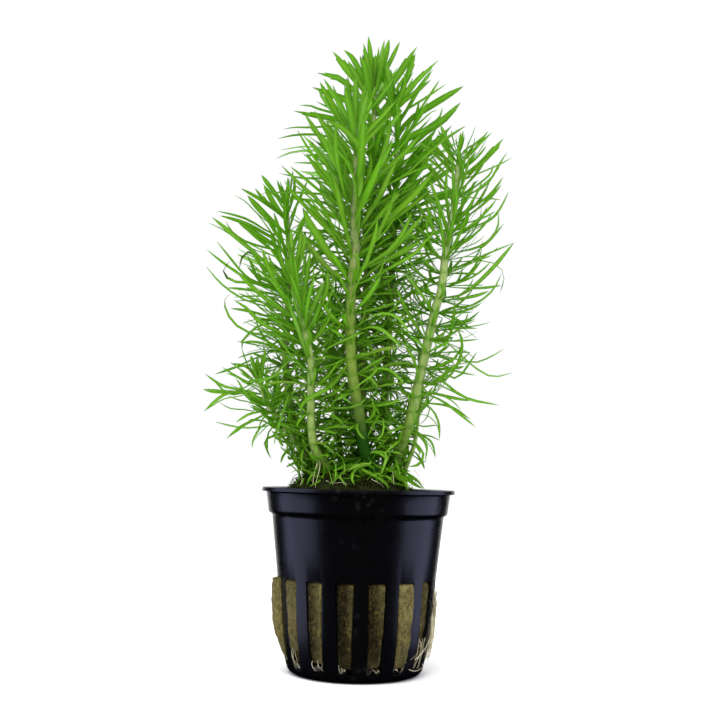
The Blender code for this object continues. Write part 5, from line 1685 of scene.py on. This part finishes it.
class Path:
    """A smooth line through a stem's route."""

    def __init__(self, route):
        given = np.array(route) * MM
        ends = np.vstack((2 * given[:1] - given[1:2], given, 2 * given[-1:] - given[-2:-1]))
        u = (np.arange(ROUTE_STEPS) / ROUTE_STEPS)[:, None]
        spans = []
        for a, b, c, d in zip(ends, ends[1:], ends[2:], ends[3:]):
            curve = b * 2 + (c - a) * u + (a * 2 - b * 5 + c * 4 - d) * u**2 + (b * 3 - a - c * 3 + d) * u**3
            spans.append(curve / 2)
        self.points = np.vstack((*spans, given[-1:]))
        self.reached = distances_along(self.points)
        self.length = self.reached[-1]
        self.tangents = unit(np.gradient(self.points, axis=0))

    def at(self, distance):
        """Points and directions at one or more distances along the path."""
        tangents = read_off(distance, self.reached, self.tangents)
        return read_off(distance, self.reached, self.points), unit(tangents)


def stem_radius(stem, share):
    """Radius of a stem at this share of its length."""
    return stem.radius * MM * (1 - STEM_TAPER * share**TAPER_START)


class Whorl(NamedTuple):
    """The place of one ring of leaves. The share runs from 0 at the stem's first whorl to 1 at its last."""

    stem: Stem
    share: float
    distance: float
    centre: np.ndarray
    axis: np.ndarray
    radius: float
    turn: float

    def angle_of(self, leaf):
        return self.turn + leaf * math.tau / self.stem.leaves

    def outs(self, angles):
        """Directions square to the stem at these angles."""
        side = unit(np.cross(self.axis, (0, 1, 0)))
        ahead = np.cross(self.axis, side)
        return np.cos(angles)[:, None] * side + np.sin(angles)[:, None] * ahead

    def lines(self, angles, lifts, hooks, sizes, sways):
        """Centre lines of leaves at these angles, and the directions across them. A hook bends ends down."""
        outs = self.outs(angles)
        across = np.cross(self.axis, outs)
        t = (np.arange(LEAF_STEPS) + 0.5) / LEAF_STEPS
        first = math.radians(between(*self.stem.start_angle, self.share)) - lifts
        last = math.radians(between(*self.stem.end_angle, self.share)) - lifts * 1.2 + hooks
        bend = first[:, None] + (last - first)[:, None] * t**1.4
        heading = self.axis * np.cos(bend)[..., None] + outs[:, None] * np.sin(bend)[..., None]
        heading = unit(heading + across[:, None] * (sways[:, None] * (t - 0.25))[..., None])
        length = between(*self.stem.length, self.share**LEAF_GROWTH) * MM * sizes
        steps = np.cumsum(heading * (length / LEAF_STEPS)[:, None, None], axis=1)
        start = self.centre + outs * self.radius * 0.75
        return start[:, None] + np.concatenate((np.zeros((len(angles), 1, 3)), steps), axis=1), across


class Leaf(NamedTuple):
    """A leaf that has its place. It is dry from its tip by the share dry."""

    line: np.ndarray
    across: np.ndarray
    half_width: float
    twist: tuple = (0, 0)
    blade: int = 0
    age: float = 0.0
    tone: float = 0.5
    dry: float = 0.0
    yellow: float = 0.0


class Bed:
    """Points that a new leaf keeps clear of, each with the radius round it that is taken."""

    def __init__(self):
        self.points = np.empty((0, 3))
        self.radii = np.empty(0)

    def add(self, points, radius):
        self.points = np.vstack((self.points, points))
        self.radii = np.concatenate((self.radii, np.broadcast_to(radius, len(points))))

    def room(self, lines):
        """The least room that each line has, over its outer part."""
        outer = lines[:, FIRST_CHECKED:]
        spots = outer.reshape(-1, 3)
        centre = spots.mean(0)
        reach = np.linalg.norm(spots - centre, axis=1).max() + 3 * CLEARANCE
        near = np.linalg.norm(self.points - centre, axis=1) < reach
        room = spots[:, 2] - ground(spots[:, 0], spots[:, 1])
        skirt = np.interp(spots[:, 2], SKIRT_HEIGHTS, SKIRT_REACHES) - np.hypot(spots[:, 0], spots[:, 1])
        right_edge = np.interp(spots[:, 2], SKIRT_HEIGHTS, RIGHT_REACHES) - spots[:, 0]
        room = np.minimum(room, np.minimum(skirt, right_edge) + CLEARANCE)
        if near.any():
            others = self.points[near]
            squares = (spots**2).sum(1)[:, None] + (others**2).sum(1)[None] - 2 * spots @ others.T
            distances = np.sqrt(np.maximum(squares, 0)) - self.radii[near][None]
            room = np.minimum(room, distances.min(1))
        return room.reshape(outer.shape[:2]).min(1)


def ground(x, y):
    """Height that leaves stay over: the moss, and round it the rim."""
    radius = np.hypot(x, y)
    rim = np.where(radius < RIM_RADIUS + 0.0012, POT_HEIGHT + 0.0006, POT_HEIGHT - 0.004)
    return np.where(radius < MOSS_REACH, wool_height(x, y) + 0.0002, rim)


def whorls_of(stem, path, chance):
    first = np.interp(FIRST_WHORL, path.points[:, 2], path.reached)
    found = []
    for index in range(stem.whorls):
        distance = path.length - (path.length - first) * (1 - index / stem.whorls) ** WHORL_CROWDING
        centre, axis = path.at(distance)
        radius = stem_radius(stem, distance / path.length)
        turn = (index + 0.5) * math.pi / stem.leaves + chance.uniform(-WHORL_TURN, WHORL_TURN)
        found.append(Whorl(stem, index / (stem.whorls - 1), distance, centre, axis, radius, turn))
    return found


class Shoots:
    """All stems with their leaves, grown in one bed."""

    def __init__(self):
        self.chance = random.Random(SEED)
        self.paths = [Path(stem.route) for stem in STEMS]
        self.whorls = [whorls_of(stem, path, self.chance) for stem, path in zip(STEMS, self.paths)]
        feet = [read_off(FIRST_WHORL, path.points[:, 2], path.points) for path in self.paths]
        self.feet = np.array(feet)[:, :2]
        self.bed = Bed()
        self.leaves = [[] for _ in STEMS]
        for stem, path in zip(STEMS, self.paths):
            self.bed.add(path.points, stem.radius * MM * 0.8)
        for number, stem in enumerate(STEMS):
            for facts in LAID_LEAVES.get(stem.node, ()):
                self.lay_leaf(number, *facts)
        for number, points, half_width, black, yellow in BENT_LEAVES:
            self.lay_bent_leaf(number, np.array(points) * MM, half_width * MM, black, yellow)
        for _ in range(FOOT_LEAVES):
            self.lay_foot_leaf()
        self.grow()

    def lay_leaf(self, number, blade, width, depth, foot, *places):
        """Adds a leaf through the given places, turned more or less with its flat side to the front."""
        chance = self.chance
        stem_points = self.paths[number].points / MM
        start = read_off(foot, stem_points[:, 2], stem_points)
        flat = np.vstack(((start[0], start[2]), np.reshape(places, (-1, 2))))
        reached = distances_along(flat)
        depths = start[1] + (depth - start[1]) * reached / reached[-1]
        leaf_path = Path(np.column_stack((flat[:, 0], depths, flat[:, 1])))
        line, _ = leaf_path.at(np.linspace(0, leaf_path.length, LEAF_STEPS + 1))
        across = unit(np.cross(line[-1] - line[0], (0.0, 1.0, 0.0)))
        turned = chance.uniform(-0.6, 0.6)
        twist = (turned, turned + chance.uniform(-0.5, 0.5))
        age = clamp((150 - foot) / 95 + chance.uniform(-0.15, 0.15))
        dry = chance.uniform(0.03, 0.06) if chance.random() < 0.3 else 0.0
        self.bed.add(line[2:], LAID_ROOM)
        leaf = Leaf(line, across, width * 0.93 * MM / 2, twist, blade, age, chance.random(), dry)
        self.leaves[number].append(leaf)

    def lay_bent_leaf(self, number, points, half_width, black, yellow):
        reached = distances_along(points)
        line = read_off(np.linspace(0, reached[-1], 2 * LEAF_STEPS + 1), reached, points)
        line[1:-1] = (line[:-2] + 2 * line[1:-1] + line[2:]) / 4
        self.bed.add(line, 0)
        across = np.array((0.0, -0.3, 1.0))
        leaf = Leaf(line[::2], across, half_width, twist=(0, 0.8), age=0.8, dry=black, yellow=yellow)
        self.leaves[number].append(leaf)

    def lay_foot_leaf(self):
        """Adds a small curled leaf that starts in the moss and belongs to the nearest stem."""
        chance = self.chance
        angle = chance.uniform(0, math.tau)
        in_gap = abs(math.sin((angle - math.radians(FOOT_GAP_DEGREES)) / 2)) < FOOT_GAP_WIDTH
        if in_gap and chance.random() < FOOT_GAP_SHARE:
            return
        x, y = on_circle(angle, FOOT_REACH * math.sqrt(chance.uniform(0.12, 1)))
        x += FOOT_SHIFT
        share = (np.arange(LEAF_STEPS) + 0.5) / LEAF_STEPS
        rise = math.radians(chance.uniform(10, 80))
        pitch = rise - math.radians(chance.uniform(30, 190)) * share
        yaw = angle + chance.uniform(-2.0, 2.0) + chance.uniform(-1.8, 1.8) * share
        heading = np.column_stack((np.cos(pitch) * np.cos(yaw), np.cos(pitch) * np.sin(yaw), np.sin(pitch)))
        steps = np.cumsum(heading * chance.uniform(*FOOT_LENGTHS) / LEAF_STEPS, axis=0)
        line = np.array((x, y, float(wool_height(x, y)))) + np.vstack((np.zeros(3), steps))
        line[1:, 2] = np.maximum(line[1:, 2], ground(line[1:, 0], line[1:, 1]) + 0.0001)
        number = int(np.linalg.norm(self.feet - (x, y), axis=1).argmin())
        across = np.array((-math.sin(yaw[0]), math.cos(yaw[0]), 0.2))
        turned = chance.uniform(-0.5, 0.5)
        half_width = chance.uniform(*FOOT_HALF_WIDTHS)
        yellow = chance.uniform(0.2, 0.6) if chance.random() < 0.12 else 0.0
        facts = (chance.uniform(0.3, 1.0), chance.random(), 0.0, yellow)
        self.leaves[number].append(Leaf(line, across, half_width, (turned, turned), THREAD, *facts))

    def grow(self):
        """Grows the broad leaves and then the fringe, each in a mixed order."""
        broad, fringe = [], []
        for number, stem in enumerate(STEMS):
            for whorl in self.whorls[number]:
                gaps = CROWN_GAPS if whorl.share > CROWN_SHARE else 0
                kept = [leaf for leaf in range(stem.leaves) if self.chance.random() >= gaps]
                broad += [(number, whorl, leaf) for leaf in kept]
                if whorl.share < FRINGE_TOP:
                    count = round(FRINGE_LEAVES * (1 - (whorl.share / FRINGE_TOP) ** 3))
                    fringe += [(number, whorl, leaf + 0.5) for leaf in range(count)]
        for places, habit in ((broad, BROAD_LEAF), (fringe, FRINGE_LEAF)):
            self.chance.shuffle(places)
            for place in places:
                self.grow_leaf(*place, habit)

    def grow_leaf(self, number, whorl, leaf, habit):
        """Gives a leaf the first free place of some tries, or the freest of them."""
        chance = self.chance
        low = 1 - whorl.share
        spread = np.linspace(0.35, 1, CANDIDATES)
        signs = np.array([[chance.uniform(-1, 1) for _ in range(4)] for _ in range(CANDIDATES)])
        angles = whorl.angle_of(leaf) + signs[:, 0] * spread * 0.42
        to_front = whorl.outs(angles[:1])[0, 1] < OPEN_SIDE
        missing = habit.missing * (1 if whorl.share < OPEN_TOP else OPEN_ABOVE)
        if to_front and number in OPEN_STEMS and chance.random() < missing:
            return
        lifts = np.radians(signs[:, 1] * spread * habit.lift)
        hooks = np.radians((signs[:, 3] + 0.2) * habit.hook * low**habit.hook_growth)
        sizes = chance.uniform(0.86, 1.12) * (1 - 0.3 * np.maximum(spread - 0.55, 0))
        half_width = between(*whorl.stem.width, whorl.share**LEAF_GROWTH) * MM / 2
        half_width *= chance.uniform(0.85, 1.12)
        blade = chance.choice(WIDE_BLADES) if half_width > WIDE_LEAF else 0
        if habit is FRINGE_LEAF:
            sizes = sizes * chance.uniform(*FRINGE_SIZES)
            half_width = chance.uniform(*FRINGE_WIDTHS) * MM / 2
            blade = THREAD
        sways = signs[:, 2] * (habit.sway + habit.low_sway * low)
        lines, across = whorl.lines(angles, lifts, hooks, sizes, sways)
        room = self.bed.room(lines)
        free = np.nonzero(room > CLEARANCE * habit.room)[0]
        choice = free[0] if len(free) else int(room.argmax())
        age = clamp(1.05 - whorl.share + chance.uniform(-0.2, 0.2))
        turned = chance.uniform(-0.7, 0.7)
        twist = (turned, turned + chance.uniform(-0.9, 0.9))
        dry = chance.uniform(0.03, 0.14) if chance.random() < 0.06 + 0.1 * age else 0.0
        yellow = chance.uniform(0.2, 0.8) if chance.random() < 0.06 * max(age - 0.5, 0) / 0.5 else 0.0
        tone = chance.random()
        if room[choice] < LEAST_ROOM:
            return
        self.bed.add(lines[choice][1:], 0.0)
        grown = Leaf(lines[choice], across[choice], half_width, twist, blade, age, tone, dry, yellow)
        self.leaves[number].append(grown)


BUD_LEAVES = 7
BUD_RADIUS = 0.0003
BUD_DEPTH = 0.0006
STEM_CELLS = 240
# Half the height of a joint, how much wider the stem is there, and the last share of it, which narrows to a
# point
JOINT_HEIGHT = 0.00055
JOINT_WIDTH = 0.08
STEM_POINT = 0.015


def bud_leaves(path, stem, chance):
    """Short young leaves that stand round the tip of a stem."""
    centre, axis = path.at(path.length - BUD_DEPTH)
    turn = chance.uniform(0, 1)
    whorl = Whorl(stem._replace(leaves=BUD_LEAVES), 1.0, path.length, centre, axis, BUD_RADIUS, turn)
    leaves = []
    for number in range(BUD_LEAVES):
        angle = np.array([whorl.angle_of(number) + chance.uniform(-0.2, 0.2)])
        lift = np.radians([chance.uniform(5, 25)])
        size = np.array([chance.uniform(0.3, 0.75)])
        lines, across = whorl.lines(angle, lift, np.zeros(1), size, np.zeros(1))
        half_width = stem.width[2] * MM * (0.15 + 0.2 * size[0])
        leaves.append(Leaf(lines[0], across[0], half_width, tone=chance.random()))
    return leaves


def stem_lines(stem, path, whorls):
    """The stem's centre line, its radius along it, how near each point is to a joint, and its pink flush."""
    distances = np.linspace(0, path.length, STEM_CELLS + 1)
    share = distances / path.length
    line, _ = path.at(distances)
    joints = np.array([whorl.distance for whorl in whorls])
    gap = np.abs(distances[:, None] - joints[None]).min(1)
    joint = np.exp(-((gap / JOINT_HEIGHT) ** 2))
    radius = stem_radius(stem, share) * (1 + JOINT_WIDTH * joint)
    radius = radius * (1 - 0.7 * np.clip(share - (1 - STEM_POINT), 0, 1) / STEM_POINT)
    flush = np.array([between(*stem.flush, value) for value in share])
    return line, radius, joint, flush * (1 - joint)


def add_leaves(heap, blade, leaves):
    if not leaves:
        return
    line, across, half_width, twist = (
        np.array([getattr(leaf, name) for leaf in leaves])
        for name in ("line", "across", "half_width", "twist")
    )
    sizes = half_width[:, None] * np.ones(line.shape[1])
    facts = {}
    for name in ("age", "tone", "dry", "yellow"):
        facts[name] = np.array([getattr(leaf, name) for leaf in leaves])[:, None]
    heap.add(blade, sweep(blade, line, across, sizes, twist), 0, **facts)


class PLANT_OT_shoots(bpy.types.Operator):
    """Grows the shoots: a jointed stem each, with whorls of narrow leaves"""

    bl_idname = "plant.shoots"
    bl_label = "Shoots"

    def execute(self, context):
        settings = context.scene.plant_leaf
        skins = [leaf_skin(settings), stem_skin(settings)]
        blades = [model_blade(outline) for outline in BLADES]
        tube = model_tube(12, STEM_CELLS)
        shoots = Shoots()
        chance = random.Random(3)
        for stem, path, whorls, leaves in zip(STEMS, shoots.paths, shoots.whorls, shoots.leaves):
            leaves = leaves + bud_leaves(path, stem, chance)
            heap = Heap("along", "across", "below", "age", "tone", "dry", "yellow", "joint", "flush")
            for number, blade in enumerate(blades):
                add_leaves(heap, blade, [leaf for leaf in leaves if leaf.blade == number])
            line, radius, joint, flush = stem_lines(stem, path, whorls)
            points = sweep(tube, line[None], np.array([[1.0, 0, 0]]), radius[None])
            steps = np.rint(np.clip(tube.points[:, 2], 0, 1) * STEM_CELLS).astype(int)
            heap.add(tube, points, 1, joint=joint[steps], flush=flush[steps])
            shoot = heap.made(stem.node + "_shoot")
            finish_piece(shoot, shoot.name, skins, "leaf_green", stem.node)
        return {"FINISHED"}


# Stage

# How the camera stands: to the left of the pot's axis, tipped up from the level, and turned about its view
CAMERA_X = -0.0004
CAMERA_TILT = 6.116
CAMERA_ROLL = 1.27
NEAREST_SEEN = 0.01
FLOOR_RADIUS = 1.2
PLANT_MIDDLE = Vector((0, 0, 0.1))
# Soft lights: name, azimuth in degrees from the camera's side, height, distance, size, power and colour
SOFT_LIGHTS = (
    ("left_softbox", -86, 0.16, 0.60, (0.70, 0.75), 1.8, (0.72, 0.76, 1.2)),
    ("right_softbox", 90, 0.16, 0.60, (0.66, 0.75), 1.75, (0.72, 0.76, 1.2)),
    ("top_softbox", -20, 0.95, 0.25, (0.7, 0.7), 12.0, (1, 1, 1)),
    ("back_panel", 180, 0.30, 1.10, (1.3, 1.1), 4.0, (1, 1, 1)),
)
# The sky as it is seen, as it lights the plant from the camera's side and from elsewhere, and as gloss
# reflects it
SEEN_SKY = (1.0, 1.0, 1.0)
FRONT_SKY = (1.12, 1.10, 1.04)
OTHER_SKY = (0.97, 0.95, 0.88)
GLOSSY_SKY = (0.001, 0.001, 0.0015)


def add_floor(settings):
    start_piece()
    bpy.ops.mesh.primitive_circle_add(vertices=64, radius=FLOOR_RADIUS, fill_type="NGON")
    floor = bpy.context.object
    floor.name = "studio_floor"
    floor.data.materials.append(plain_floor(settings))
    floor.visible_glossy = False


def add_lights():
    for name, azimuth, height, distance, size, power, colour in SOFT_LIGHTS:
        turn = math.radians(azimuth)
        place = Vector((math.sin(turn) * distance, -math.cos(turn) * distance, height))
        facing = (place - PLANT_MIDDLE).to_track_quat("Z", "Y").to_euler()
        start_piece()
        bpy.ops.object.light_add(type="AREA", location=place, rotation=facing)
        lamp = bpy.context.object
        lamp.name = name
        lamp.data.shape = "RECTANGLE"
        lamp.data.size, lamp.data.size_y = size
        lamp.data.energy = power
        lamp.data.color = colour
        lamp.visible_camera = False


def add_sky():
    sky = Finish(bpy.data.worlds.new("studio"))
    bpy.context.scene.world = sky.owner
    rays = sky.node("LightPath")
    depth = sky.node("SeparateXYZ", None, {"Vector": sky.node("TexCoord")}, output=1)
    light = sky.blend(FRONT_SKY, OTHER_SKY, depth.step(-0.95, -0.1))
    light = sky.blend(light, SEEN_SKY, rays)
    light = sky.blend(light, GLOSSY_SKY, sky.node("LightPath", output=3))
    sky.node("OutputWorld", None, {"Surface": sky.node("Background", None, {"Color": light})})


def add_camera(settings):
    tilt = Euler((math.radians(90 + CAMERA_TILT), 0, 0)).to_matrix()
    roll = Euler((0, 0, math.radians(CAMERA_ROLL))).to_matrix()
    place = (CAMERA_X, -settings.distance, settings.eye_height)
    start_piece()
    bpy.ops.object.camera_add(location=place, rotation=(tilt @ roll).to_euler())
    camera = bpy.context.object
    camera.name = "camera"
    camera.data.angle = 2 * math.atan(PICTURE_WIDTH / 2 / settings.lens_pixels)
    camera.data.clip_start = NEAREST_SEEN
    bpy.context.scene.camera = camera
    bpy.context.scene.view_settings.view_transform = "Standard"


class PLANT_OT_stage(bpy.types.Operator):
    """Adds the floor, the soft lights and the camera"""

    bl_idname = "plant.stage"
    bl_label = "Stage"

    def execute(self, context):
        settings = context.scene.plant_stage
        add_floor(settings)
        add_lights()
        add_sky()
        add_camera(settings)
        return {"FINISHED"}


class PLANT_PT_pieces(bpy.types.Panel):
    """Lists the pieces of the potted plant"""

    bl_label = "Potted plant"
    bl_idname = "PLANT_PT_pieces"
    bl_space_type = "VIEW_3D"
    bl_region_type = "UI"
    bl_category = "Plant"

    def draw(self, context):
        for operator in OPERATORS:
            self.layout.operator(operator.bl_idname)


OPERATORS = (
    PLANT_OT_net_pot,
    PLANT_OT_rock_wool,
    PLANT_OT_moss,
    PLANT_OT_roots,
    PLANT_OT_shoots,
    PLANT_OT_stage,
)
SETTINGS = {
    "plant_pot": PotSettings,
    "plant_wool": WoolSettings,
    "plant_leaf": LeafSettings,
    "plant_stage": StageSettings,
}


def register():
    for kind in (*SETTINGS.values(), *OPERATORS, PLANT_PT_pieces):
        bpy.utils.register_class(kind)
    for name, kind in SETTINGS.items():
        setattr(bpy.types.Scene, name, PointerProperty(type=kind))


def unregister():
    for name in SETTINGS:
        delattr(bpy.types.Scene, name)
    for kind in (PLANT_PT_pieces, *reversed(OPERATORS), *SETTINGS.values()):
        bpy.utils.unregister_class(kind)


def main():
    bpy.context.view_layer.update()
    register()
    bpy.ops.plant.net_pot()
    bpy.ops.plant.rock_wool()
    bpy.ops.plant.moss()
    bpy.ops.plant.roots()
    bpy.ops.plant.shoots()
    bpy.ops.plant.stage()


if __name__ == "__main__":
    main()
